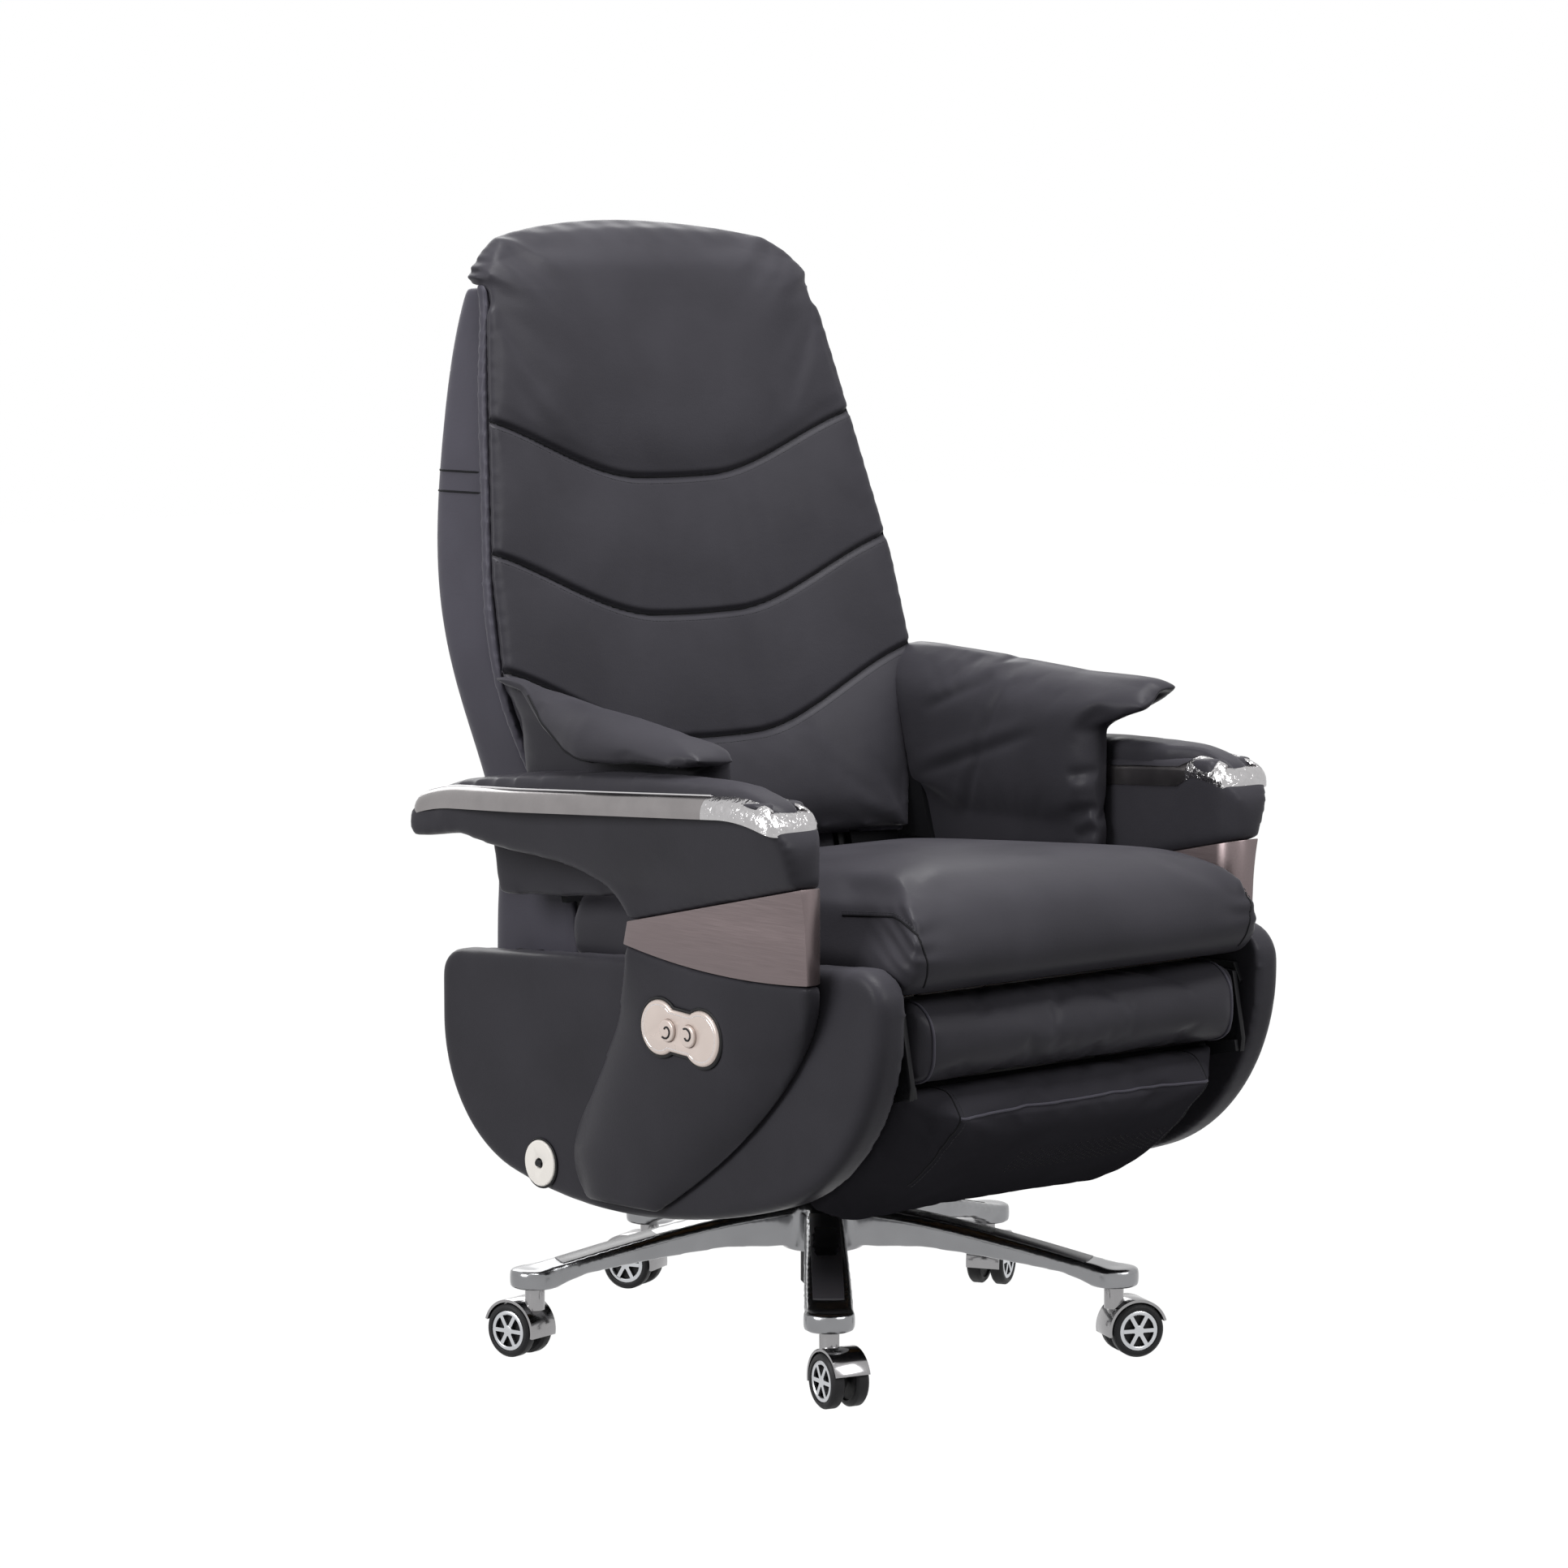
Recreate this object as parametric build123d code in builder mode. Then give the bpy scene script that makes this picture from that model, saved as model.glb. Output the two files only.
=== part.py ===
"""Reclining office chair: five-star base on casters, gas lift, powered back and footrest.

Millimetres, +Z up, floor at z = 0, origin on the floor under the swivel axis.
The sitter faces -Y, so +X is the sitter's left.
"""
import os
from math import cos, hypot, radians, sin, tan

from build123d import *

# Clearances
RUNNING_FIT = 0.05
SOFT_GAP = 0.3
SLIDE_GAP = 0.3

# Star base
ARM_COUNT = 5
FIRST_ARM_ANGLE = -130.8
STEM_RADIUS_FROM_AXIS = 340.0
HUB_R = 46.0
HUB_BOTTOM = 104.0
HUB_TOP = 160.0
ARM_END_R = 28.0
ARM_END_BOTTOM = 79.0
ARM_END_TOP = 101.0
INLAY_WIDTH = 34.0
INLAY_DEPTH = 2.5
INLAY_START = 66.0
INLAY_END = 312.0

# Casters
WHEEL_R = 30.0
TYRE_INNER_R = 23.0
TYRE_WIDTH = 16.0
WEB_THICKNESS = 10.0
WHEEL_SIDE_GAP = 1.5
CASTER_TRAIL = 22.0
AXLE_R = 4.0
STEM_R = 5.5
STEM_LENGTH = 18.0
HOOD_GAP = 2.0
HOOD_WALL = 3.0
HUB_CAP_R = 8.5
SPOKE_COUNT = 6
TRAIL_ANGLES = (-104.0, -23.0, 28.0, 113.0, 101.0)

# Gas lift
CYLINDER_R = 25.0
CYLINDER_BOTTOM = 62.0
CYLINDER_TOP = 174.0
PISTON_R = 14.0
PISTON_BOTTOM = 76.0
PISTON_TOP = 238.0

# Seat plate, cross beams and height lever
PLATE_BOTTOM = 225.0
PLATE_THICKNESS = 8.0
PLATE_HALF = 125.0
BOSS_R = 27.0
BOSS_BOTTOM = 181.0
BEAM_HEIGHT = 40.0
BEAM_WIDTH = 40.0
BEAM_OFFSET = 90.0
LEVER_R = 4.0
LEVER_Y = 55.0
LEVER_Z = 168.0
LEVER_INNER_X = 62.0
LEVER_OUTER_X = 352.0
LEVER_EAR_X = (70.0, 112.0)
LEVER_EAR_T = 8.0

# Side panels, side rails and seat board
PANEL_INNER_X = 264.0
PANEL_THICKNESS = 38.0
PANEL_EDGE_R = 13.0
PANEL_FRONT = -424.0
PANEL_REAR = 317.0
PANEL_BOTTOM = 178.0
PANEL_TOP_FRONT = 493.0
PANEL_TOP_REAR = 440.0
RAIL_THICKNESS = 6.0
RAIL_LUG_R = 16.0
BOARD_THICKNESS = 12.0
BOARD_FRONT = -330.0
BOARD_REAR = 128.0

# Seat cushion
CUSHION_FRONT = -434.0
CUSHION_REAR = 134.0
CUSHION_HALF_WIDTH = 260.4
CUSHION_BOTTOM_FRONT = 460.0
CUSHION_BOTTOM_REAR = 444.0
CUSHION_TOP_FRONT = 575.0
CUSHION_TOP_REAR = 541.0

# Armrests
ARM_OUTER_X = 377.0
ARM_FRONT = -347.0
ARM_REAR = 303.0
ARM_SEAT_Z = 631.0
ARM_SLOPE = 0.06
TRIM_HEIGHT = 23.0
TRIM_WALL = 9.0
PAD_CROWN = 16.0
BAND_REAR_Y = -58.0
BAND_REAR_TOP = 512.0
BAND_REAR_BOTTOM = 486.0
BAND_FRONT_TOP = 574.0
BAND_FRONT_BOTTOM = 472.0

# Switch and power socket on the sitter's right
SWITCH_Y = -145.0
SWITCH_Z = 400.0
SWITCH_TILT = 4.0
SWITCH_LOBE_R = 30.0
SWITCH_LOBE_SPACING = 34.0
SWITCH_BED_X = 326.0
SWITCH_FACE_X = 338.0
BUTTON_R = 12.0
BUTTON_SPACING = 17.0
BUTTON_PROUD = 3.5
BUTTON_TRAVEL = 2.5
SOCKET_Y = 132.0
SOCKET_Z = 218.0
SOCKET_FLANGE_R = 26.0
SOCKET_FLANGE_T = 4.5
SOCKET_SLEEVE_R = 11.0
SOCKET_BORE_R = 6.0
SOCKET_BORE_DEPTH = 14.0
SOCKET_DEPTH = 18.0

# Backrest
RECLINE_Y = 215.0
RECLINE_Z = 430.0
RECLINE_TUBE_R = 13.0
HINGE_PIN_R = 6.0
BACK_LEAN = 14.0
BACK_FOOT_Y = 145.0
BACK_FOOT_Z = 536.0
BACK_HUG = 20.0
EDGE_THICKNESS = 12.0
MIDDLE_THICKNESS = 42.0
BACK_BOARD_T = 14.0
BACK_FRAME_T = 9.0
SHELL_INSET = 22.0
SHELL_CROWN = 34.0
SHELL_BOTTOM = 452.0
SHELL_TOP = 1186.0
SHELL_REARS = (322.0, 312.0, 309.0, 326.0, 360.0, 380.0, 386.0, 374.0)
BACK_BAR_X = 205.0
BACK_BAR_WIDTH = 42.0
BACK_TOP = 1262.0
BACK_BOARD_TOP = 1192.0
BACK_LAYER_BOTTOM = 548.0
BACK_FRAME_BOTTOM = 436.0
BACK_HALVES = (250.0, 256.0, 284.0, 310.0, 303.0, 284.0, 265.0, 245.0)
SEAM_DEPTH = 9.0
SEAM_WIDTH = 7.0
SEAM_HEIGHTS = (671.0, 810.0, 967.0)
SEAM_RISES = (98.0, 80.0, 70.0)

# Wing pads between back and armrests
WING_INNER_X = 274.0
WING_THICKNESS = 22.0
WING_CREST_R = 41.0
WING_CREST_Z = 766.0
WING_FLAP_BOTTOM = 690.0
WING_FRONT = -162.0
# The wings reach back past the cushion's side below this height, and stay this far above the arm pads
WING_TAIL = 60.0
WING_TAIL_TOP = 596.0
WING_LIFT = 6.0
# The left wing stands up and the right one is pressed down over its armrest
STANDING_DROOP = 0.05
PRESSED_DROOP = 0.14

# Footrest
FOOT_Y = -392.0
FOOT_Z = 431.0
FOOT_PIN_R = 5.0
FOOT_PAD_HALF = 240.0
FOOT_PAD_FRONT = -424.0
FOOT_PAD_BACK = -350.0
FOOT_PAD_TOP = 451.0
FOOT_PAD_BOTTOM = 363.0
FOOT_PLATE_T = 5.0
FOOT_EAR_X = 246.0
FOOT_EAR_T = 6.0
CALF_Y = -408.0
CALF_Z = 358.0
CALF_HALF = 236.0
CALF_RIDGE_HALF = 187.0
CALF_EAR_X = 240.0
CALF_EAR_T = 5.0
CALF_PLATE_T = 5.0

# Linear actuator and control box
ACTUATOR_Y = 60.0
ACTUATOR_Z = 302.0
CRANK_Y = -326.0
CRANK_Z = 372.0
CRANK_R = 10.0
# The rod's end stops this far short of the crank line, so that it clears the lugs in mid travel
CRANK_PLAY = 16.0
ACTUATOR_TUBE_R = 14.0
ACTUATOR_TUBE_LENGTH = 240.0
ACTUATOR_ROD_R = 6.5
ACTUATOR_PIN_R = 5.0
EYE_HALF = 7.0
LUG_GAP = 2.0
LUG_T = 6.0

# Sizes that follow from the ones above
PANEL_OUTER_X = PANEL_INNER_X + PANEL_THICKNESS
RAIL_INNER_X = PANEL_INNER_X - RAIL_THICKNESS
PLATE_TOP = PLATE_BOTTOM + PLATE_THICKNESS
BEAM_TOP = PLATE_TOP + BEAM_HEIGHT
ARM_INNER_X = PANEL_OUTER_X
WHEEL_INNER = WEB_THICKNESS / 2 + WHEEL_SIDE_GAP
WHEEL_OUTER = WHEEL_INNER + TYRE_WIDTH
BOARD_SLOPE = (CUSHION_BOTTOM_REAR - CUSHION_BOTTOM_FRONT) / (CUSHION_REAR - CUSHION_FRONT)
CUSHION_SLOPE = (CUSHION_TOP_REAR - CUSHION_TOP_FRONT) / (CUSHION_REAR - CUSHION_FRONT)
BACK_STEP = (BACK_BOARD_TOP - BACK_FRAME_BOTTOM) / (len(BACK_HALVES) - 1)
BACK_HEIGHTS = [BACK_FRAME_BOTTOM + BACK_STEP * k for k in range(len(BACK_HALVES))]
STAND_ANGLES = [FIRST_ARM_ANGLE + 360.0 / ARM_COUNT * k for k in range(ARM_COUNT)]

os.makedirs("parts", exist_ok=True)


def write(piece, label):
    """Labels a finished piece and writes it as its own STEP file."""
    piece.part.label = label
    export_step(piece.part, f"parts/{label}.step")


def mirrored(piece):
    """The same piece on the other side of the chair's middle plane."""
    with BuildPart() as other:
        add(mirror(piece.part, about=Plane.YZ))
    return other


def cushion_bottom(y):
    """Height of the seat cushion's underside."""
    return CUSHION_BOTTOM_FRONT + BOARD_SLOPE * (y - CUSHION_FRONT)


def cushion_top(y):
    """Height of the seat cushion's crest."""
    return CUSHION_TOP_FRONT + CUSHION_SLOPE * (y - CUSHION_FRONT)


def rod_between(start, end, radius):
    """Adds a round bar between two points to the part being built."""
    with BuildSketch(Plane(origin=start, z_dir=end - start)) as disc:
        Circle(radius)
    extrude(disc.sketch, amount=(end - start).length)


# Star base: hub, five arched arms with a recessed inlay, and a socket for each caster stem
def arm_plane(angle):
    """Plane through the swivel axis whose X runs out along one base arm."""
    return Plane(origin=(0, 0, 0), x_dir=(cos(radians(angle)), sin(radians(angle)), 0), z_dir=(0, 0, 1))


def arm_top(r):
    """Height of a base arm's crest, falling in an arch from hub to tip."""
    reach = (r - HUB_R) / (STEM_RADIUS_FROM_AXIS - HUB_R)
    return HUB_TOP - 4.0 - (HUB_TOP - 4.0 - ARM_END_TOP) * reach ** 1.35


def arm_bottom(r):
    """Height of a base arm's underside."""
    reach = (r - HUB_R) / (STEM_RADIUS_FROM_AXIS - HUB_R)
    return HUB_BOTTOM + 6.0 - (HUB_BOTTOM + 6.0 - ARM_END_BOTTOM) * reach ** 1.6


def arm_station(plane, r):
    """A plane across a base arm at radius r, with X sideways and Y up."""
    out = plane.x_dir
    return Plane(origin=out * r, x_dir=Vector(-out.Y, out.X, 0), z_dir=out)


def base_arm(plane):
    """Adds one arm by lofting trapezoids from the hub to the caster socket."""
    last = STEM_RADIUS_FROM_AXIS
    stations = (HUB_R - 8.0, HUB_R + 70.0, HUB_R + 165.0, last)
    sections = []
    for r, half in zip(stations, (23.0, 24.0, 26.0, ARM_END_R)):
        bottom, top = arm_bottom(max(r, HUB_R)), arm_top(max(r, HUB_R))
        with BuildSketch(arm_station(plane, r)) as section:
            with BuildLine():
                Polyline((-half + 7, bottom), (half - 7, bottom), (half, top - 9), (half - 5, top),
                         (-half + 5, top), (-half, top - 9), close=True)
            make_face()
        sections.append(section.sketch)
    loft(sections)


def inlay_strip(plane):
    """Adds one strip that follows a base arm's crest."""
    span = INLAY_END - INLAY_START
    sections = []
    for share in (0.0, 0.34, 0.67, 1.0):
        r = INLAY_START + span * share
        with BuildSketch(arm_station(plane, r)) as section:
            with Locations((0, arm_top(r) - INLAY_DEPTH / 2)):
                Rectangle(INLAY_WIDTH, INLAY_DEPTH)
        sections.append(section.sketch)
    loft(sections)


with BuildPart() as inlay_cut:
    for stand_angle in STAND_ANGLES:
        inlay_strip(arm_plane(stand_angle))

with BuildPart() as star_base:
    with BuildSketch(Plane.XY.offset(HUB_BOTTOM)):
        Circle(HUB_R)
    extrude(amount=HUB_TOP - HUB_BOTTOM)
    fillet(star_base.edges().group_by(Axis.Z)[-1], radius=5)
    for stand_angle in STAND_ANGLES:
        base_arm(arm_plane(stand_angle))
    with BuildSketch(Plane.XY.offset(ARM_END_BOTTOM)):
        with PolarLocations(STEM_RADIUS_FROM_AXIS, ARM_COUNT, start_angle=FIRST_ARM_ANGLE):
            Circle(ARM_END_R)
    extrude(amount=ARM_END_TOP - ARM_END_BOTTOM)
    with BuildSketch(Plane.XY.offset(ARM_END_BOTTOM)):
        with PolarLocations(STEM_RADIUS_FROM_AXIS, ARM_COUNT, start_angle=FIRST_ARM_ANGLE):
            Circle(STEM_R + RUNNING_FIT)
    extrude(amount=STEM_LENGTH + 1.0, mode=Mode.SUBTRACT)
    with BuildSketch(Plane.XY.offset(CYLINDER_BOTTOM)):
        Circle(CYLINDER_R)
    extrude(amount=CYLINDER_TOP - CYLINDER_BOTTOM, mode=Mode.SUBTRACT)
    add(inlay_cut.part, mode=Mode.SUBTRACT)
write(star_base, "star_base")
write(inlay_cut, "base_inlays")


# Casters: hooded fork on a stem, and a pair of spoked wheels on one axle
def caster(number, stand_angle, trail_angle):
    """Builds and writes the three pieces of one caster."""
    stem = Vector(cos(radians(stand_angle)), sin(radians(stand_angle)), 0) * STEM_RADIUS_FROM_AXIS
    trail = Vector(cos(radians(trail_angle)), sin(radians(trail_angle)), 0)
    across = Vector(trail.Y, -trail.X, 0)
    centre = stem + trail * CASTER_TRAIL + Vector(0, 0, WHEEL_R)
    side = Plane(origin=centre, x_dir=trail, z_dir=across)
    hood_r = WHEEL_R + HOOD_GAP
    boss_bottom = WHEEL_R + 24.0

    with BuildPart() as fork:
        with BuildSketch(side):
            Circle(hood_r + HOOD_WALL)
            with BuildLine():
                Polyline((0, 0), (-hood_r * 2, -hood_r * 0.35), (-hood_r * 2, -hood_r * 2),
                         (hood_r * 2, -hood_r * 2), (hood_r * 2, hood_r * 0.6), close=True)
            make_face(mode=Mode.SUBTRACT)
            Circle(AXLE_R + 6.0)
        extrude(amount=WEB_THICKNESS / 2, both=True)
        with BuildSketch(side):
            Circle(hood_r + HOOD_WALL)
            Circle(hood_r, mode=Mode.SUBTRACT)
            with BuildLine():
                Polyline((0, 0), (-hood_r * 2, -hood_r * 0.35), (-hood_r * 2, -hood_r * 2),
                         (hood_r * 2, -hood_r * 2), (hood_r * 2, hood_r * 0.6), close=True)
            make_face(mode=Mode.SUBTRACT)
        extrude(amount=WHEEL_OUTER - 2.0, both=True)
        with BuildSketch(Plane.XY.offset(boss_bottom)):
            with Locations((stem.X, stem.Y)):
                Circle(STEM_R + 5.5)
        extrude(amount=ARM_END_BOTTOM - 1.0 - boss_bottom)
        with BuildSketch(side.offset(-WHEEL_OUTER)):
            Circle(hood_r)
        extrude(amount=WHEEL_OUTER - WEB_THICKNESS / 2, mode=Mode.SUBTRACT)
        with BuildSketch(side.offset(WEB_THICKNESS / 2)):
            Circle(hood_r)
        extrude(amount=WHEEL_OUTER - WEB_THICKNESS / 2, mode=Mode.SUBTRACT)
        with BuildSketch(side):
            Circle(AXLE_R + RUNNING_FIT)
        extrude(amount=WEB_THICKNESS, both=True, mode=Mode.SUBTRACT)
        with BuildSketch(Plane.XY.offset(ARM_END_BOTTOM - 1.0)):
            with Locations((stem.X, stem.Y)):
                Circle(STEM_R)
        extrude(amount=STEM_LENGTH)
    write(fork, f"caster_{number}_fork")

    with BuildPart() as tyres:
        for offset_in in (WHEEL_INNER, -WHEEL_OUTER):
            with BuildSketch(side.offset(offset_in)):
                Circle(WHEEL_R)
                Circle(TYRE_INNER_R, mode=Mode.SUBTRACT)
            extrude(amount=TYRE_WIDTH)
        rings = tyres.edges().filter_by(GeomType.CIRCLE)
        chamfer(rings.filter_by(lambda edge: edge.radius > WHEEL_R - 0.1), length=3.0)
    write(tyres, f"caster_{number}_tyres")

    with BuildPart() as rims:
        for offset_in in (WHEEL_INNER + 1.0, -WHEEL_OUTER + 1.0):
            with BuildSketch(side.offset(offset_in)):
                Circle(TYRE_INNER_R)
                with PolarLocations((HUB_CAP_R + TYRE_INNER_R - 3.5) / 2, SPOKE_COUNT):
                    RegularPolygon(radius=5.4, side_count=4, rotation=45, mode=Mode.SUBTRACT)
            extrude(amount=TYRE_WIDTH - 2.0)
        with BuildSketch(side):
            Circle(AXLE_R)
        extrude(amount=WHEEL_INNER + 2.0, both=True)
    write(rims, f"caster_{number}_rims")


for index, (stand, trail_to) in enumerate(zip(STAND_ANGLES, TRAIL_ANGLES)):
    caster(index + 1, stand, trail_to)

# Gas lift
with BuildPart() as gas_cylinder:
    with BuildSketch(Plane.XY.offset(CYLINDER_BOTTOM)):
        Circle(CYLINDER_R)
    extrude(amount=CYLINDER_TOP - CYLINDER_BOTTOM)
    chamfer(gas_cylinder.edges().group_by(Axis.Z)[0], length=3)
    with BuildSketch(Plane.XY.offset(PISTON_BOTTOM - 2.0)):
        Circle(PISTON_R + RUNNING_FIT)
    extrude(amount=CYLINDER_TOP, mode=Mode.SUBTRACT)
write(gas_cylinder, "gas_cylinder")

with BuildPart() as gas_piston:
    with BuildSketch(Plane.XY.offset(PISTON_BOTTOM)):
        Circle(PISTON_R)
    extrude(amount=PISTON_TOP - PISTON_BOTTOM)
    chamfer(gas_piston.edges().group_by(Axis.Z)[-1], length=2)
write(gas_piston, "gas_piston")

# Seat plate with the piston boss and the height lever's ears
with BuildPart() as seat_plate:
    with BuildSketch(Plane.XY.offset(PLATE_BOTTOM)):
        RectangleRounded(2 * PLATE_HALF, 2 * PLATE_HALF, 18)
    extrude(amount=PLATE_THICKNESS)
    with BuildSketch(Plane.XY.offset(BOSS_BOTTOM)):
        Circle(BOSS_R)
    extrude(amount=PLATE_TOP + 12.0 - BOSS_BOTTOM)
    for ear_x in LEVER_EAR_X:
        with BuildSketch(Plane.YZ.offset(ear_x)):
            with BuildLine():
                Polyline((LEVER_Y - 16, PLATE_BOTTOM), (LEVER_Y - 7, LEVER_Z - 6), (LEVER_Y + 7, LEVER_Z - 6),
                         (LEVER_Y + 16, PLATE_BOTTOM), close=True)
            make_face()
            with Locations((LEVER_Y, LEVER_Z)):
                Circle(LEVER_R + RUNNING_FIT, mode=Mode.SUBTRACT)
        extrude(amount=LEVER_EAR_T)
    with BuildSketch(Plane.XY.offset(BOSS_BOTTOM)):
        Circle(PISTON_R + RUNNING_FIT)
    extrude(amount=PISTON_TOP + 2.0 - BOSS_BOTTOM, mode=Mode.SUBTRACT)
write(seat_plate, "seat_plate")

with BuildPart() as lift_lever:
    with BuildSketch(Plane.YZ.offset(LEVER_INNER_X)):
        with Locations((LEVER_Y, LEVER_Z)):
            Circle(LEVER_R)
    extrude(amount=LEVER_OUTER_X - LEVER_INNER_X)
    with BuildSketch(Plane.XY.offset(LEVER_Z - 3.0)):
        with Locations((LEVER_OUTER_X - 16.0, LEVER_Y - 10.0)):
            RectangleRounded(34, 46, 10)
    extrude(amount=6.0)
write(lift_lever, "lift_lever")


def cross_beam(y):
    """A hollow cross beam between the side rails, bolted on the seat plate."""
    with BuildPart() as beam:
        with BuildSketch(Plane.YZ.offset(-RAIL_INNER_X)):
            with Locations((y, PLATE_TOP + BEAM_HEIGHT / 2)):
                Rectangle(BEAM_WIDTH, BEAM_HEIGHT)
                Rectangle(BEAM_WIDTH - 6, BEAM_HEIGHT - 6, mode=Mode.SUBTRACT)
        extrude(amount=2 * RAIL_INNER_X)
    return beam


front_beam = cross_beam(-BEAM_OFFSET)
write(front_beam, "front_beam")

with BuildPart() as rear_beam:
    add(cross_beam(BEAM_OFFSET).part)
    for bracket_x in (-EYE_HALF - LUG_GAP - LUG_T, EYE_HALF + LUG_GAP):
        with BuildSketch(Plane.YZ.offset(bracket_x)):
            with BuildLine():
                Polyline((BEAM_OFFSET - 16, BEAM_TOP), (BEAM_OFFSET + 16, BEAM_TOP),
                         (ACTUATOR_Y + 10, ACTUATOR_Z + 10), (ACTUATOR_Y - 10, ACTUATOR_Z + 10),
                         (ACTUATOR_Y - 10, ACTUATOR_Z - 10), close=True)
            make_face()
            with Locations((ACTUATOR_Y, ACTUATOR_Z)):
                Circle(ACTUATOR_PIN_R + RUNNING_FIT, mode=Mode.SUBTRACT)
        extrude(amount=LUG_T)
write(rear_beam, "rear_beam")

# Side rails: plates on the panels that carry the seat board and both hinge lines
with BuildPart() as side_rail_left:
    board_front = cushion_bottom(BOARD_FRONT) - BOARD_THICKNESS
    board_rear = cushion_bottom(BOARD_REAR) - BOARD_THICKNESS
    with BuildSketch(Plane.YZ.offset(RAIL_INNER_X)):
        with BuildLine():
            Polyline((BOARD_FRONT, board_front), (FOOT_Y, FOOT_Z + RAIL_LUG_R), (FOOT_Y - 10, FOOT_Z - 4),
                     (FOOT_Y + 4, FOOT_Z - RAIL_LUG_R), (-BEAM_OFFSET - 110, FOOT_Z - 70),
                     (-BEAM_OFFSET - 40, PLATE_TOP), (BEAM_OFFSET + 40, PLATE_TOP),
                     (RECLINE_Y - 25, RECLINE_Z - 60), (RECLINE_Y + RAIL_LUG_R, RECLINE_Z - 8),
                     (RECLINE_Y + RAIL_LUG_R, RECLINE_Z + 8), (RECLINE_Y + 8, RECLINE_Z + RAIL_LUG_R),
                     (RECLINE_Y - 16, RECLINE_Z + RAIL_LUG_R), (BOARD_REAR, board_rear), close=True)
        make_face()
        with Locations((FOOT_Y, FOOT_Z)):
            Circle(FOOT_PIN_R + RUNNING_FIT, mode=Mode.SUBTRACT)
        with Locations((RECLINE_Y, RECLINE_Z)):
            Circle(HINGE_PIN_R + RUNNING_FIT, mode=Mode.SUBTRACT)
        with Locations((-BEAM_OFFSET * 0.4, 350), (BEAM_OFFSET * 0.9, 350)):
            RectangleRounded(90, 70, 16, mode=Mode.SUBTRACT)
    extrude(amount=RAIL_THICKNESS)
write(side_rail_left, "side_rail_left")
write(mirrored(side_rail_left), "side_rail_right")

with BuildPart() as seat_board:
    with BuildSketch(Plane.YZ):
        with BuildLine():
            Polyline((BOARD_FRONT, board_front), (BOARD_REAR, board_rear),
                     (BOARD_REAR, board_rear + BOARD_THICKNESS), (BOARD_FRONT, board_front + BOARD_THICKNESS),
                     close=True)
        make_face()
    extrude(amount=PANEL_INNER_X - SOFT_GAP, both=True)
write(seat_board, "seat_board")


# Side panels: soft-edged bowls
with BuildPart() as side_panel_left:
    with BuildSketch(Plane.YZ.offset(PANEL_INNER_X)) as panel_face:
        with BuildLine():
            chin = TangentArc((PANEL_FRONT, PANEL_BOTTOM + 263), (-265, PANEL_BOTTOM + 44), tangent=(0, -1))
            keel = TangentArc(chin @ 1, (25, PANEL_BOTTOM), tangent=chin % 1)
            heel = TangentArc(keel @ 1, (190, PANEL_BOTTOM + 22), tangent=keel % 1)
            stern = TangentArc(heel @ 1, (PANEL_REAR, PANEL_BOTTOM + 188), tangent=heel % 1)
            Polyline(stern @ 1, (PANEL_REAR, PANEL_TOP_REAR), (PANEL_FRONT, PANEL_TOP_FRONT), chin @ 0)
        make_face()
        fillet(panel_face.vertices().sort_by(Axis.X)[-2:].sort_by(Axis.Y)[-1], radius=30)
        fillet(panel_face.vertices().sort_by(Axis.Y)[-1], radius=42)
    extrude(amount=PANEL_THICKNESS)
    fillet(side_panel_left.faces().sort_by(Axis.X)[-1].edges(), radius=PANEL_EDGE_R)
write(side_panel_left, "side_panel_left")

with BuildPart() as side_panel_right:
    add(mirrored(side_panel_left).part)
    with BuildSketch(Plane.YZ.offset(-PANEL_OUTER_X)):
        with Locations((SOCKET_Y, SOCKET_Z)):
            Circle(SOCKET_SLEEVE_R)
    extrude(amount=SOCKET_DEPTH, mode=Mode.SUBTRACT)
write(side_panel_right, "side_panel_right")

with BuildPart() as power_socket:
    with BuildSketch(Plane.YZ.offset(-PANEL_OUTER_X - SOCKET_FLANGE_T)):
        with Locations((SOCKET_Y, SOCKET_Z)):
            Circle(SOCKET_FLANGE_R)
    extrude(amount=SOCKET_FLANGE_T)
    fillet(power_socket.edges().group_by(Axis.X)[0], radius=2)
    with BuildSketch(Plane.YZ.offset(-PANEL_OUTER_X)):
        with Locations((SOCKET_Y, SOCKET_Z)):
            Circle(SOCKET_SLEEVE_R)
    extrude(amount=SOCKET_DEPTH)
    with BuildSketch(Plane.YZ.offset(-PANEL_OUTER_X - SOCKET_FLANGE_T)):
        with Locations((SOCKET_Y, SOCKET_Z)):
            Circle(SOCKET_BORE_R)
    extrude(amount=SOCKET_BORE_DEPTH, mode=Mode.SUBTRACT)
write(power_socket, "power_socket")


# Armrests: leg, metal band and upper shell are one swept form cut by two lines in side view
def arm_plan():
    """Draws an armrest's outline from above, with a blunt nose and a slim tail."""
    Polygon((ARM_INNER_X, ARM_FRONT), (ARM_OUTER_X, ARM_FRONT), (ARM_OUTER_X, 90), (ARM_OUTER_X - 24, ARM_REAR),
            (ARM_INNER_X + 12, ARM_REAR), (ARM_INNER_X, ARM_REAR - 60), align=None)


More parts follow.
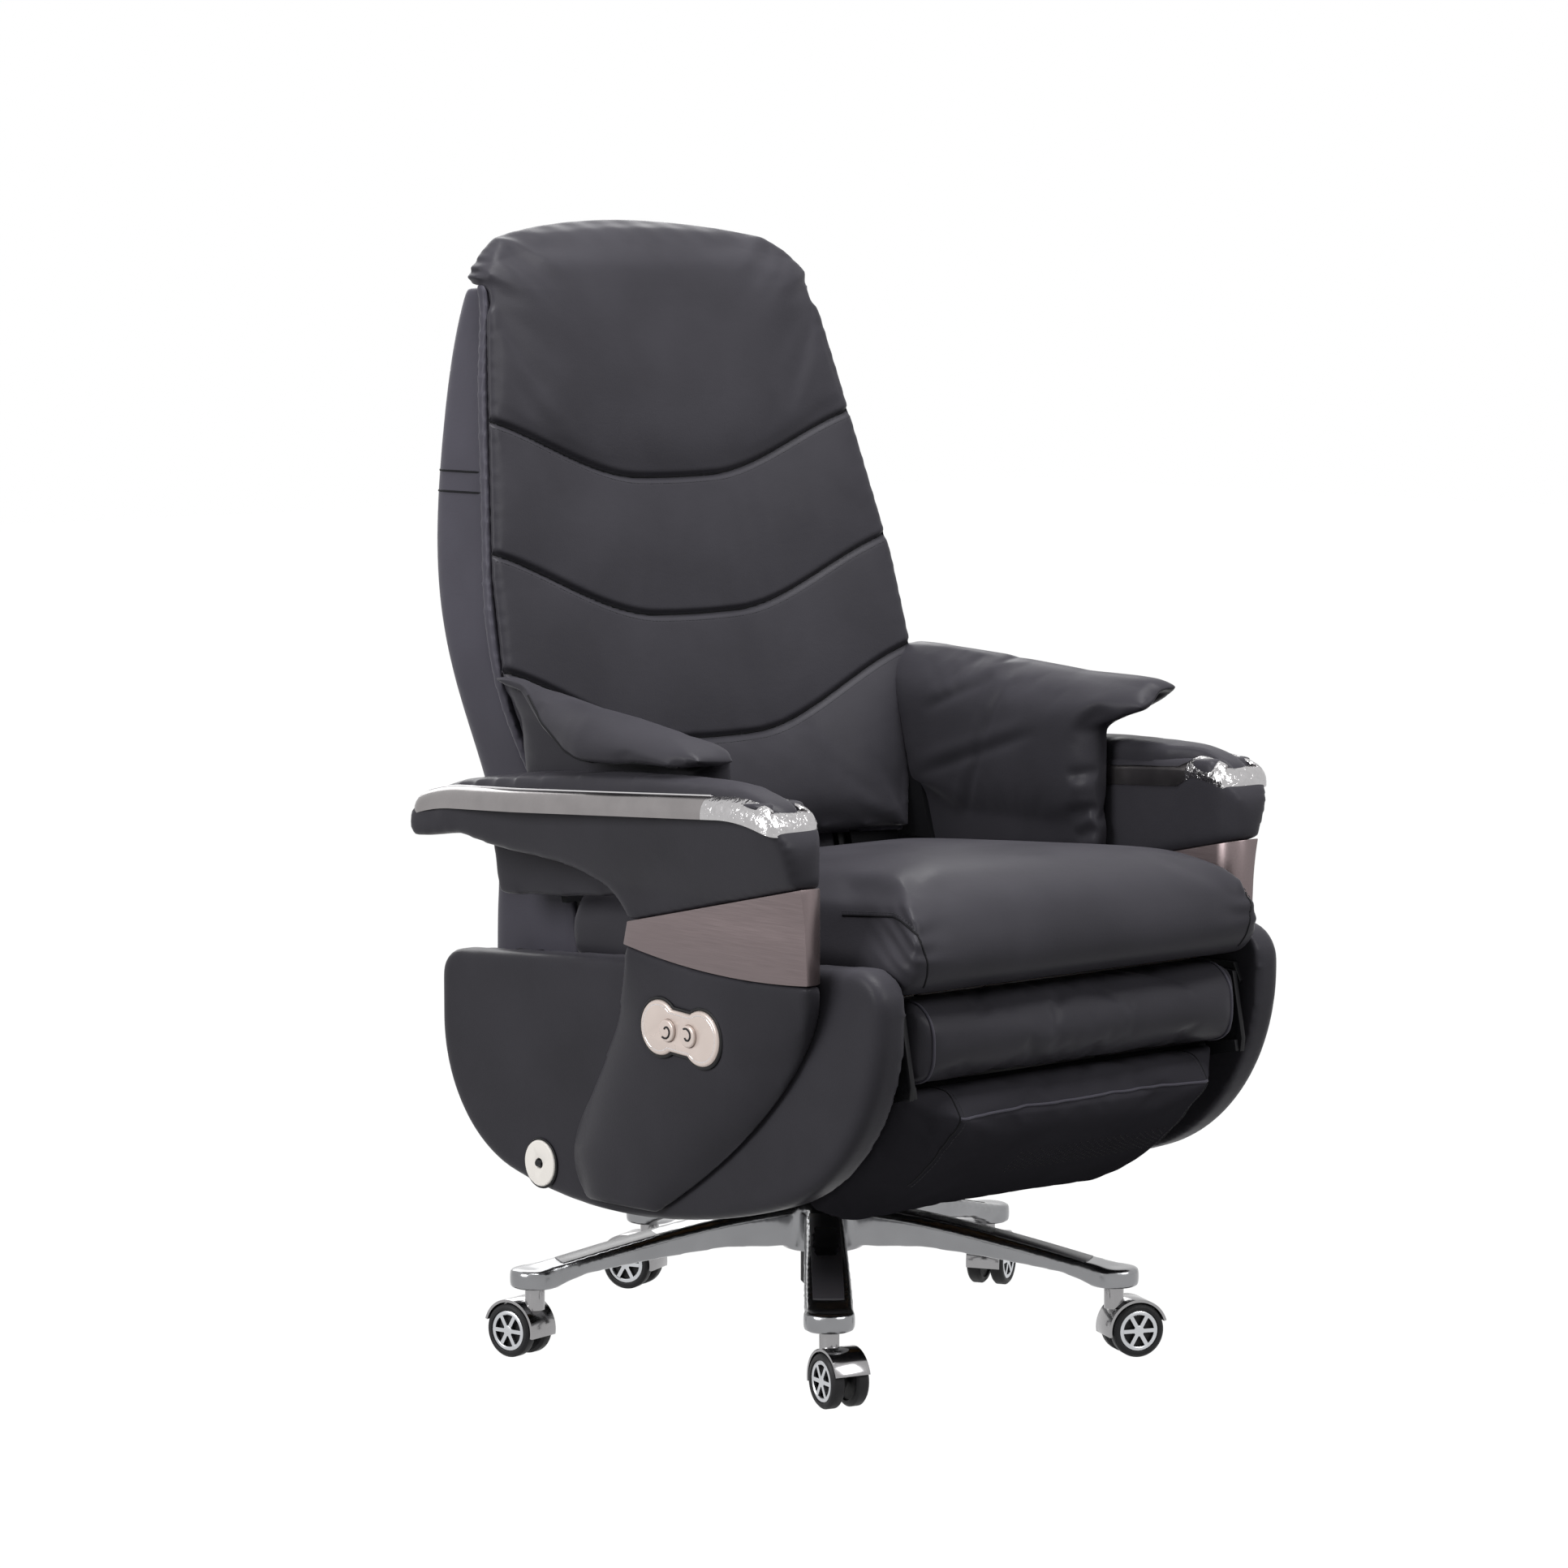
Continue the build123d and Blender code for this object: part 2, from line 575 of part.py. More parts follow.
def arm_front_profile():
    """An armrest's section from the front: upright inside, flaring outside."""
    knee = ARM_INNER_X + 35
    with BuildSketch(Plane.XZ.offset(-ARM_REAR)) as profile:
        with BuildLine():
            lower = ThreePointArc((ARM_INNER_X + 11, PANEL_BOTTOM), (ARM_INNER_X + 27, 370), (knee, 520))
            upper = TangentArc(lower @ 1, (ARM_OUTER_X, ARM_SEAT_Z + 25), tangent=lower % 1)
            Polyline(upper @ 1, (ARM_INNER_X, ARM_SEAT_Z + 25), (ARM_INNER_X, PANEL_BOTTOM), lower @ 0)
        make_face()
    return profile.sketch


def arm_seat(y):
    """Height of the armrest shell's sloping top."""
    return ARM_SEAT_Z - ARM_SLOPE * y


def band_top():
    """Draws the line where the upper shell meets the band."""
    return Line((BAND_REAR_Y, BAND_REAR_TOP), (ARM_FRONT, BAND_FRONT_TOP))


def band_bottom():
    """Draws the sagging line where the band meets the leg."""
    return Spline((BAND_REAR_Y + 8, BAND_REAR_BOTTOM), ((BAND_REAR_Y + ARM_FRONT) / 2, BAND_FRONT_BOTTOM - 3),
                  (ARM_FRONT, BAND_FRONT_BOTTOM))


def trimmed_to_arm():
    """Cuts the part being built to the armrest's plan and front profile."""
    with BuildSketch(Plane.XY.offset(PANEL_BOTTOM)) as plan:
        arm_plan()
        fillet(plan.vertices().group_by(Axis.Y)[0], radius=26)
        fillet(plan.vertices().group_by(Axis.Y)[-1], radius=14)
    extrude(plan.sketch, amount=BACK_TOP, mode=Mode.INTERSECT)
    extrude(arm_front_profile(), amount=ARM_REAR - ARM_FRONT, mode=Mode.INTERSECT)


with BuildPart() as arm_shell_left:
    with BuildSketch(Plane.YZ.offset(ARM_INNER_X)):
        with BuildLine():
            cut = band_top()
            under = Spline((ARM_REAR, arm_seat(ARM_REAR) - 11), (ARM_REAR - 60, 589), (150, 573), (30, 562),
                           (-26, 543), cut @ 0)
            nose = TangentArc((ARM_FRONT, ARM_SEAT_Z - 27), (ARM_FRONT + 46, arm_seat(ARM_FRONT + 46)),
                              tangent=(0, 1))
            Line(cut @ 1, nose @ 0)
            Polyline(nose @ 1, (ARM_REAR, arm_seat(ARM_REAR)), under @ 0)
        make_face()
    extrude(amount=ARM_OUTER_X - ARM_INNER_X)
    trimmed_to_arm()
write(arm_shell_left, "arm_shell_left")
write(mirrored(arm_shell_left), "arm_shell_right")

with BuildPart() as arm_band_left:
    with BuildSketch(Plane.YZ.offset(ARM_INNER_X)):
        with BuildLine():
            cut_top = band_top()
            cut_low = band_bottom()
            Line(cut_top @ 0, cut_low @ 0)
            Line(cut_top @ 1, cut_low @ 1)
        make_face()
    extrude(amount=ARM_OUTER_X - ARM_INNER_X)
    trimmed_to_arm()
write(arm_band_left, "arm_band_left")
write(mirrored(arm_band_left), "arm_band_right")

with BuildPart() as arm_leg_left:
    with BuildSketch(Plane.YZ.offset(ARM_INNER_X)):
        with BuildLine():
            cut_low = band_bottom()
            back_edge = Spline(cut_low @ 0, (-20, 405), (37, 309), (70, 240), (46, PANEL_BOTTOM + 12))
            front_edge = Spline(cut_low @ 1, (-319, 404), (-248, 318), (-156, 244), (-74, PANEL_BOTTOM + 14))
            Line(back_edge @ 1, front_edge @ 1)
        make_face()
    extrude(amount=ARM_OUTER_X - ARM_INNER_X)
    trimmed_to_arm()
write(arm_leg_left, "arm_leg_left")


def switch_outline(extra):
    """Draws the switch's peanut outline, wider by extra all round."""
    half = SWITCH_LOBE_SPACING
    with Locations(Location((SWITCH_Y, SWITCH_Z), SWITCH_TILT)):
        with Locations((-half, 0), (half, 0)):
            Circle(SWITCH_LOBE_R + extra)
        Rectangle(2 * half, 2 * (SWITCH_LOBE_R - 7 + extra))


with BuildPart() as arm_leg_right:
    add(mirrored(arm_leg_left).part)
    with BuildSketch(Plane.YZ.offset(-SWITCH_BED_X)):
        switch_outline(0)
    extrude(amount=-ARM_OUTER_X, mode=Mode.SUBTRACT)
write(arm_leg_right, "arm_leg_right")

BUTTON_PLACES = [(SWITCH_Y + shift * cos(radians(SWITCH_TILT)), SWITCH_Z + shift * sin(radians(SWITCH_TILT)))
                 for shift in (BUTTON_SPACING, -BUTTON_SPACING)]

with BuildPart() as switch_bezel:
    with BuildSketch(Plane.YZ.offset(-SWITCH_FACE_X)):
        switch_outline(0)
    extrude(amount=SWITCH_FACE_X - SWITCH_BED_X)
    chamfer(switch_bezel.faces().sort_by(Axis.X)[0].edges(), length=2)
    with BuildSketch(Plane.YZ.offset(-SWITCH_FACE_X)):
        with Locations(*BUTTON_PLACES):
            Circle(BUTTON_R + SLIDE_GAP)
    extrude(amount=SWITCH_FACE_X - SWITCH_BED_X - 2.0, mode=Mode.SUBTRACT)
write(switch_bezel, "switch_bezel")


def button(place):
    """A round push button in the switch bezel."""
    inner_end = SWITCH_BED_X + 2.0 + BUTTON_TRAVEL + SLIDE_GAP
    with BuildPart() as piece:
        with BuildSketch(Plane.YZ.offset(-SWITCH_FACE_X - BUTTON_PROUD)):
            with Locations(place):
                Circle(BUTTON_R)
        extrude(amount=SWITCH_FACE_X + BUTTON_PROUD - inner_end)
        fillet(piece.edges().group_by(Axis.X)[0], radius=2)
    return piece


write(button(BUTTON_PLACES[0]), "recline_button")
write(button(BUTTON_PLACES[1]), "return_button")

# Armrest trim ring and the leather pad inside it, both on the shell's sloping top
SEAT_OF_PAD = Plane(origin=(0, 0, ARM_SEAT_Z), x_dir=(1, 0, 0), z_dir=(0, ARM_SLOPE, 1))

with BuildPart() as arm_trim_left:
    with BuildSketch(SEAT_OF_PAD) as ring:
        arm_plan()
        fillet(ring.vertices().group_by(Axis.Y)[0], radius=26)
        fillet(ring.vertices().group_by(Axis.Y)[-1], radius=14)
        offset(amount=-TRIM_WALL, mode=Mode.SUBTRACT)
    extrude(amount=TRIM_HEIGHT)
write(arm_trim_left, "arm_trim_left")
write(mirrored(arm_trim_left), "arm_trim_right")

with BuildPart() as arm_pad_left:
    with BuildSketch(SEAT_OF_PAD) as pad_plan:
        arm_plan()
        fillet(pad_plan.vertices().group_by(Axis.Y)[0], radius=26)
        fillet(pad_plan.vertices().group_by(Axis.Y)[-1], radius=14)
        offset(amount=-TRIM_WALL - SOFT_GAP, mode=Mode.REPLACE)
    extrude(amount=TRIM_HEIGHT + PAD_CROWN)
    with BuildSketch(Plane.YZ.offset(ARM_INNER_X)):
        with BuildLine():
            pad_front, pad_rear = ARM_FRONT + TRIM_WALL, ARM_REAR - TRIM_WALL
            bulge = ThreePointArc((pad_front, arm_seat(pad_front) + TRIM_HEIGHT),
                                  (-60, arm_seat(-60) + TRIM_HEIGHT + PAD_CROWN),
                                  (pad_rear, arm_seat(pad_rear) + TRIM_HEIGHT))
            Polyline(bulge @ 1, (pad_rear, ARM_SEAT_Z - 60), (pad_front, ARM_SEAT_Z - 60), bulge @ 0)
        make_face()
    extrude(amount=ARM_OUTER_X - ARM_INNER_X, mode=Mode.INTERSECT)
write(arm_pad_left, "arm_pad_left")
write(mirrored(arm_pad_left), "arm_pad_right")


# Seat cushion: a waterfall side profile crossed with a crowned section that runs down its slope
with BuildPart() as seat_cushion:
    with BuildSketch(Plane.YZ):
        with BuildLine():
            base = Line((CUSHION_REAR - 8, cushion_bottom(CUSHION_REAR - 8)),
                        (CUSHION_FRONT + 26, cushion_bottom(CUSHION_FRONT + 26)))
            lip = ThreePointArc(base @ 1, (CUSHION_FRONT, (CUSHION_BOTTOM_FRONT + CUSHION_TOP_FRONT) / 2 - 8),
                                (CUSHION_FRONT + 52, CUSHION_TOP_FRONT - 7))
            crest = ThreePointArc(lip @ 1, (CUSHION_FRONT / 2, cushion_top(CUSHION_FRONT / 2) + 5),
                                  (CUSHION_REAR - 12, CUSHION_TOP_REAR - 8))
            ThreePointArc(crest @ 1, (CUSHION_REAR, (CUSHION_BOTTOM_REAR + CUSHION_TOP_REAR) / 2), base @ 0)
        make_face()
    extrude(amount=CUSHION_HALF_WIDTH + 10, both=True)
    with BuildSketch(Plane.XZ.offset(-CUSHION_REAR)):
        with BuildLine():
            half = CUSHION_HALF_WIDTH
            shoulder = CUSHION_TOP_REAR - 11
            Line((-half + 6, CUSHION_BOTTOM_REAR - 44), (half - 6, CUSHION_BOTTOM_REAR - 44))
            right = ThreePointArc((half - 6, CUSHION_BOTTOM_REAR - 44), (half, shoulder - 46), (half - 16, shoulder))
            crown = ThreePointArc(right @ 1, (0, CUSHION_TOP_REAR + 6), (-half + 16, shoulder))
            ThreePointArc(crown @ 1, (-half, shoulder - 46), (-half + 6, CUSHION_BOTTOM_REAR - 44))
        make_face()
    extrude(amount=1.2 * (CUSHION_REAR - CUSHION_FRONT), dir=(0, -1, -CUSHION_SLOPE), mode=Mode.INTERSECT)
write(seat_cushion, "seat_cushion")


# Backrest: cushion, moulded board, frame and rear shell are nested layers with curved plan sections
def back_front(z):
    """Depth of the back's face on the middle plane."""
    return BACK_FOOT_Y + tan(radians(BACK_LEAN)) * (z - BACK_FOOT_Z)


def back_half(z):
    """Half width of the back: narrow between the armrests, wide above them, drawn in at the head."""
    for k in range(len(BACK_HEIGHTS) - 2):
        if z <= BACK_HEIGHTS[k + 1]:
            break
    share = (z - BACK_HEIGHTS[k]) / (BACK_HEIGHTS[k + 1] - BACK_HEIGHTS[k])
    return BACK_HALVES[k] + share * (BACK_HALVES[k + 1] - BACK_HALVES[k])


def back_section(z, half, front, front_hug, rear, rear_hug):
    """One plan section between two arcs, whose ends lie further forward by their hug."""
    with BuildSketch(Plane.XY.offset(z)) as section:
        with BuildLine():
            ThreePointArc((-half, front - front_hug), (0, front), (half, front - front_hug))
            Line((half, front - front_hug), (half, rear - rear_hug))
            ThreePointArc((half, rear - rear_hug), (0, rear), (-half, rear - rear_hug))
            Line((-half, rear - rear_hug), (-half, front - front_hug))
        make_face()
    return section.sketch


REAR_HUG = BACK_HUG + MIDDLE_THICKNESS - EDGE_THICKNESS
ABOVE_LAYERS = Plane.XY.offset(BACK_LAYER_BOTTOM)


def back_layer(start, thickness):
    """Lofts a layer of even thickness that starts behind the cushion and follows the back's lean."""
    faces = [back_front(z) + start for z in BACK_HEIGHTS]
    loft([back_section(z, half, face, REAR_HUG, face + thickness, REAR_HUG)
          for z, half, face in zip(BACK_HEIGHTS, BACK_HALVES, faces)])


def cushion_body(sink, wider):
    """Lofts the back cushion, with its face set back by sink and its edges moved out by wider."""
    loft([back_section(z, half + wider, back_front(z) + sink, BACK_HUG, back_front(z) + MIDDLE_THICKNESS, REAR_HUG)
          for z, half in zip(BACK_HEIGHTS, BACK_HALVES)])


with BuildPart() as seam_core:
    cushion_body(SEAM_DEPTH, 1.0)

with BuildPart() as seams:
    for seam_z, rise in zip(SEAM_HEIGHTS, SEAM_RISES):
        reach = back_half(seam_z + rise) + 10
        radius = (reach ** 2 + rise ** 2) / (2 * rise)
        with BuildSketch(Plane.XZ.offset(-back_front(seam_z + rise) - MIDDLE_THICKNESS)):
            with Locations((0, seam_z + radius)):
                Circle(radius + SEAM_WIDTH / 2)
                Circle(radius - SEAM_WIDTH / 2, mode=Mode.SUBTRACT)
            with Locations((0, seam_z + rise + radius)):
                Rectangle(4 * radius, 2 * radius, mode=Mode.SUBTRACT)
        extrude(amount=4 * MIDDLE_THICKNESS)
    add(seam_core.part, mode=Mode.SUBTRACT)

with BuildPart() as back_cushion:
    cushion_body(0, 0)
    split(bisect_by=ABOVE_LAYERS, keep=Keep.TOP)
    head = BACK_BOARD_TOP
    roll = MIDDLE_THICKNESS + BACK_BOARD_T + 14.0
    brow = back_front(head)
    loft([
        back_section(head, back_half(head) - 1.5, brow + 1.5, BACK_HUG, brow + roll, REAR_HUG),
        back_section(head + 34, back_half(head) - 5, brow + 7, BACK_HUG, brow + roll + 4, REAR_HUG),
        back_section(BACK_TOP, back_half(head) - 46, brow + 26, BACK_HUG * 0.6,
                     brow + roll - 10, REAR_HUG * 0.6),
    ])
    add(seams.part, mode=Mode.SUBTRACT)
write(back_cushion, "back_cushion")

with BuildPart() as back_board:
    back_layer(MIDDLE_THICKNESS + SOFT_GAP, BACK_BOARD_T)
    split(bisect_by=ABOVE_LAYERS, keep=Keep.TOP)
    split(bisect_by=Plane.XY.offset(BACK_BOARD_TOP - SOFT_GAP), keep=Keep.BOTTOM)
write(back_board, "back_board")

FRAME_START = MIDDLE_THICKNESS + SOFT_GAP + BACK_BOARD_T + SOFT_GAP
SHELL_START = FRAME_START + BACK_FRAME_T + 0.8

with BuildPart() as back_frame:
    back_layer(FRAME_START, BACK_FRAME_T)
    with BuildSketch(Plane.XZ.offset(-RECLINE_Y - 300)):
        with Locations((-BACK_BAR_X, 780), (BACK_BAR_X, 780)):
            Rectangle(BACK_BAR_WIDTH, 680)
        with Locations((0, 600), (0, 830), (0, 1080)):
            Rectangle(2 * BACK_BAR_X, BACK_BAR_WIDTH)
    extrude(amount=600, mode=Mode.INTERSECT)
    with BuildSketch(Plane.YZ.offset(-RAIL_INNER_X + 4)):
        with Locations((RECLINE_Y, RECLINE_Z)):
            Circle(RECLINE_TUBE_R)
    extrude(amount=2 * (RAIL_INNER_X - 4))
    with BuildSketch(Plane.YZ.offset(-PANEL_INNER_X + SOFT_GAP)):
        with Locations((RECLINE_Y, RECLINE_Z)):
            Circle(HINGE_PIN_R)
    extrude(amount=2 * (PANEL_INNER_X - SOFT_GAP))
    for bar_x in (-BACK_BAR_X - BACK_BAR_WIDTH / 2, BACK_BAR_X - BACK_BAR_WIDTH / 2):
        with BuildSketch(Plane.YZ.offset(bar_x)):
            with BuildLine():
                sole_z, tread_z = RECLINE_Z + 7, SHELL_BOTTOM - 3
                heel = back_front(tread_z) + FRAME_START - REAR_HUG * (BACK_BAR_X / BACK_HALVES[0]) ** 2
                Polyline((RECLINE_Y, sole_z), (RECLINE_Y, tread_z), (heel - 3, tread_z), (heel - 3, sole_z),
                         close=True)
            make_face()
        extrude(amount=BACK_BAR_WIDTH)
write(back_frame, "back_frame")

with BuildPart() as back_shell:
    shell_sections = []
    for shell_z, full_half, shell_rear in zip(BACK_HEIGHTS, BACK_HALVES, SHELL_REARS):
        half = full_half - SHELL_INSET
        front = back_front(shell_z) + SHELL_START
        front_edge = front - REAR_HUG * (half / full_half) ** 2
        with BuildSketch(Plane.XY.offset(shell_z)) as shell_section:
            with BuildLine():
                ThreePointArc((-half, front_edge), (0, front), (half, front_edge))
                Line((half, front_edge), (half, shell_rear - 26))
                ThreePointArc((half, shell_rear - 26), (half - 9, shell_rear - 8), (half - 30, shell_rear))
                ThreePointArc((half - 30, shell_rear), (0, shell_rear + SHELL_CROWN), (30 - half, shell_rear))
                ThreePointArc((30 - half, shell_rear), (9 - half, shell_rear - 8), (-half, shell_rear - 26))
                Line((-half, shell_rear - 26), (-half, front_edge))
            make_face()
        shell_sections.append(shell_section.sketch)
    loft(shell_sections)
    split(bisect_by=Plane.XY.offset(SHELL_BOTTOM), keep=Keep.TOP)
    split(bisect_by=Plane.XY.offset(SHELL_TOP), keep=Keep.BOTTOM)
write(back_shell, "back_shell")

# Wing pads: inverted J sections that stand inside the armrest and fold out over it
def wing_pad(droop, brow):
    """Makes a left wing whose crest sinks by droop for each millimetre forward and ends at the brow points."""
    outside = WING_INNER_X + WING_THICKNESS
    crest_y = back_front(WING_CREST_Z)
    crest_x = WING_INNER_X + WING_CREST_R
    crest_z = WING_CREST_Z - WING_CREST_R + droop * WING_TAIL
    inner_r = WING_CREST_R - WING_THICKNESS
    hem = ARM_SEAT_Z - WING_CREST_R
    foot = BACK_FOOT_Z - 30
    rim = crest_x + WING_CREST_R
    with BuildPart() as wing:
        with BuildSketch(Plane.XZ.offset(-crest_y - WING_TAIL)):
            with BuildLine():
                Polyline((outside, crest_z), (outside, foot), (WING_INNER_X, foot), (WING_INNER_X, crest_z))
                ThreePointArc((WING_INNER_X, crest_z), (crest_x, crest_z + WING_CREST_R), (rim, crest_z))
                ThreePointArc((outside, crest_z), (crest_x, crest_z + inner_r), (crest_x + inner_r, crest_z))
                Polyline((rim, crest_z), (rim, hem), (crest_x + inner_r, hem), (crest_x + inner_r, crest_z))
            make_face()
        extrude(amount=800, dir=(0, -1, -droop))
        with BuildSketch(Plane.YZ.offset(WING_INNER_X)):
            with BuildLine():
                root = [(back_front(z) - BACK_HUG - 0.6, z) for z in (WING_CREST_Z + 4, WING_TAIL_TOP)]
                tail = [(back_front(z) + WING_TAIL, z) for z in (WING_TAIL_TOP - 14, BACK_FOOT_Z - 14)]
                Polyline(*root, *tail, (WING_FRONT, BACK_FOOT_Z + 14), (WING_FRONT, WING_FLAP_BOTTOM), *brow,
                         root[0])
            make_face()
        extrude(amount=2 * WING_CREST_R + 4, mode=Mode.INTERSECT)
        with BuildSketch(Plane.YZ.offset(ARM_INNER_X - 2)):
            with BuildLine():
                pad_top = ARM_SEAT_Z + TRIM_HEIGHT + PAD_CROWN + WING_LIFT
                Polyline((400, pad_top - ARM_SLOPE * 400), (400, foot - 90), (-400, foot - 90),
                         (-400, pad_top + ARM_SLOPE * 400), close=True)
            make_face()
        extrude(amount=3 * WING_CREST_R, mode=Mode.SUBTRACT)
    return wing


standing_brow = [(WING_FRONT - 32, WING_CREST_Z - 40), (WING_FRONT - 18, WING_CREST_Z - 22)]
pressed_brow = [(WING_FRONT - 24, WING_FLAP_BOTTOM + 2), (WING_FRONT + 6, WING_FLAP_BOTTOM + 22)]
write(wing_pad(STANDING_DROOP, standing_brow), "wing_pad_left")
write(mirrored(wing_pad(PRESSED_DROOP, pressed_brow)), "wing_pad_right")


# Footrest: a plate with ears on the front hinge line carries the upper pad
with BuildPart() as footrest_pad:
    with BuildSketch(Plane.YZ):
        with BuildLine():
            face, sole, ridge_top = FOOT_PAD_FRONT, FOOT_PAD_BOTTOM, FOOT_PAD_TOP
            Line((FOOT_PAD_BACK, ridge_top - 4), (FOOT_PAD_BACK, sole + 4))
            ThreePointArc((FOOT_PAD_BACK, sole + 4), (FOOT_PAD_BACK - 32, sole), (face + 12, sole + 8))
            ThreePointArc((face + 12, sole + 8), (face, (ridge_top + sole) / 2), (face + 16, ridge_top - 10))
            ThreePointArc((face + 16, ridge_top - 10), (FOOT_Y + 4, ridge_top), (FOOT_PAD_BACK, ridge_top - 4))
        make_face()
    extrude(amount=FOOT_PAD_HALF, both=True)
    with BuildSketch(Plane.XZ.offset(-FOOT_PAD_BACK)):
        with Locations((0, (FOOT_PAD_TOP + FOOT_PAD_BOTTOM) / 2)):
            RectangleRounded(2 * FOOT_PAD_HALF, FOOT_PAD_TOP - FOOT_PAD_BOTTOM, 20)
    extrude(amount=FOOT_PAD_BACK - FOOT_PAD_FRONT, mode=Mode.INTERSECT)
    with BuildSketch(Plane.XY.offset(FOOT_PAD_BOTTOM)) as pad_from_above:
        with Locations((0, (FOOT_PAD_FRONT + FOOT_PAD_BACK) / 2)):
            Rectangle(2 * FOOT_PAD_HALF, FOOT_PAD_BACK - FOOT_PAD_FRONT)
        fillet(pad_from_above.vertices().group_by(Axis.Y)[0], radius=30)
    extrude(amount=FOOT_PAD_TOP - FOOT_PAD_BOTTOM, mode=Mode.INTERSECT)
write(footrest_pad, "footrest_pad")

with BuildPart() as footrest_frame:
    plate_front = FOOT_PAD_BACK + SOFT_GAP
    with BuildSketch(Plane.YZ.offset(-FOOT_EAR_X)):
        with Locations((plate_front + FOOT_PLATE_T / 2, (FOOT_PAD_TOP + FOOT_PAD_BOTTOM) / 2 - 8)):
            Rectangle(FOOT_PLATE_T, FOOT_PAD_TOP - FOOT_PAD_BOTTOM - 20)
    extrude(amount=2 * FOOT_EAR_X)
    for ear_x in (-FOOT_EAR_X - FOOT_EAR_T, FOOT_EAR_X):
        with BuildSketch(Plane.YZ.offset(ear_x)):
            with BuildLine():
                Polyline((FOOT_Y - 10, FOOT_Z + 8), (FOOT_Y + 10, FOOT_Z + 9),
                         (plate_front + FOOT_PLATE_T, FOOT_Z - 8), (plate_front + FOOT_PLATE_T, FOOT_PAD_BOTTOM + 4), (CALF_Y + 9, CALF_Z - 9),
                         (CALF_Y - 7, CALF_Z - 7), (CALF_Y - 9, CALF_Z + 8), close=True)
            make_face()
            with Locations((CALF_Y, CALF_Z)):
                Circle(FOOT_PIN_R - 1 + RUNNING_FIT, mode=Mode.SUBTRACT)
        extrude(amount=FOOT_EAR_T)
    for pin_x in (-PANEL_INNER_X + SOFT_GAP, FOOT_EAR_X + FOOT_EAR_T):
        with BuildSketch(Plane.YZ.offset(pin_x)):
            with Locations((FOOT_Y, FOOT_Z)):
                Circle(FOOT_PIN_R)
        extrude(amount=PANEL_INNER_X - SOFT_GAP - FOOT_EAR_X - FOOT_EAR_T)
    for lug_x in (-EYE_HALF - LUG_GAP - LUG_T, EYE_HALF + LUG_GAP):
        with BuildSketch(Plane.YZ.offset(lug_x)):
            with BuildLine():
                Polyline((plate_front + FOOT_PLATE_T, CRANK_Z + 18), (plate_front + FOOT_PLATE_T, CRANK_Z - 2),
                         (CRANK_Y, CRANK_Z - CRANK_R), (CRANK_Y + 9, CRANK_Z - 4), (CRANK_Y + 9, CRANK_Z + 5),
                         (CRANK_Y, CRANK_Z + CRANK_R), close=True)
            make_face()
        extrude(amount=LUG_T)
write(footrest_frame, "footrest_frame")

# Calf pad: folds back under the footrest, hung on its own pins in the footrest's ears
CALF_TOP_BACK = (CALF_Y + 36, CALF_Z - 2)
CALF_RIDGE = (CALF_Y - 18, CALF_Z - 32)
CALF_TOE = (CALF_Y + 165, CALF_Z - 168)
CALF_HEEL = (CALF_Y + 180, CALF_Z - 134)

with BuildPart() as calf_pad:
    for section_x, pull in ((-CALF_HALF, 52), (-CALF_RIDGE_HALF, 0), (CALF_RIDGE_HALF, 0), (CALF_HALF, 52)):
        with BuildSketch(Plane.YZ.offset(section_x)):
            with BuildLine():
                fold = (CALF_Y + 6 + pull * 0.35, CALF_Z - 2)
                ridge = (CALF_RIDGE[0] + pull, CALF_RIDGE[1] + pull * 0.2)
                toe = (CALF_TOE[0] - pull * 0.1, CALF_TOE[1] + pull * 0.35)
                sag = ((ridge[0] + toe[0]) / 2 - 8, (ridge[1] + toe[1]) / 2 - 11)
                Polyline(toe, CALF_HEEL, CALF_TOP_BACK, fold, ridge)
                ThreePointArc(ridge, sag, toe)
            make_face()
    loft(ruled=True)
write(calf_pad, "calf_pad")

with BuildPart() as calf_frame:
    lean = Vector(CALF_HEEL[0] - CALF_TOP_BACK[0], CALF_HEEL[1] - CALF_TOP_BACK[1])
    along = lean.normalized()
    behind = Vector(-along.Y, along.X)
    lift_off = behind * SOFT_GAP
    corner = Vector(*CALF_TOP_BACK) + lift_off + along * 4
    far_corner = corner + along * (lean.length - 30)
    plate = [corner, far_corner, far_corner + behind * CALF_PLATE_T, corner + behind * CALF_PLATE_T]
    with BuildSketch(Plane.YZ.offset(-CALF_EAR_X - CALF_EAR_T)):
        with BuildLine():
            Polyline(*[(p.X, p.Y) for p in plate], close=True)
        make_face()
    extrude(amount=2 * (CALF_EAR_X + CALF_EAR_T))
    for ear_x in (-CALF_EAR_X - CALF_EAR_T, CALF_EAR_X):
        with BuildSketch(Plane.YZ.offset(ear_x)):
            with BuildLine():
                low = plate[0] + along * 24
                Polyline((CALF_Y - 6, CALF_Z - 6), (CALF_Y - 4, CALF_Z + 6), (plate[3].X, plate[3].Y),
                         (low.X, low.Y), close=True)
            make_face()
        extrude(amount=CALF_EAR_T)
    for pin_x in (-FOOT_EAR_X - FOOT_EAR_T, CALF_EAR_X + CALF_EAR_T):
        with BuildSketch(Plane.YZ.offset(pin_x)):
            with Locations((CALF_Y, CALF_Z)):
                Circle(FOOT_PIN_R - 1)
        extrude(amount=FOOT_EAR_X + FOOT_EAR_T - CALF_EAR_X - CALF_EAR_T)
write(calf_frame, "calf_frame")

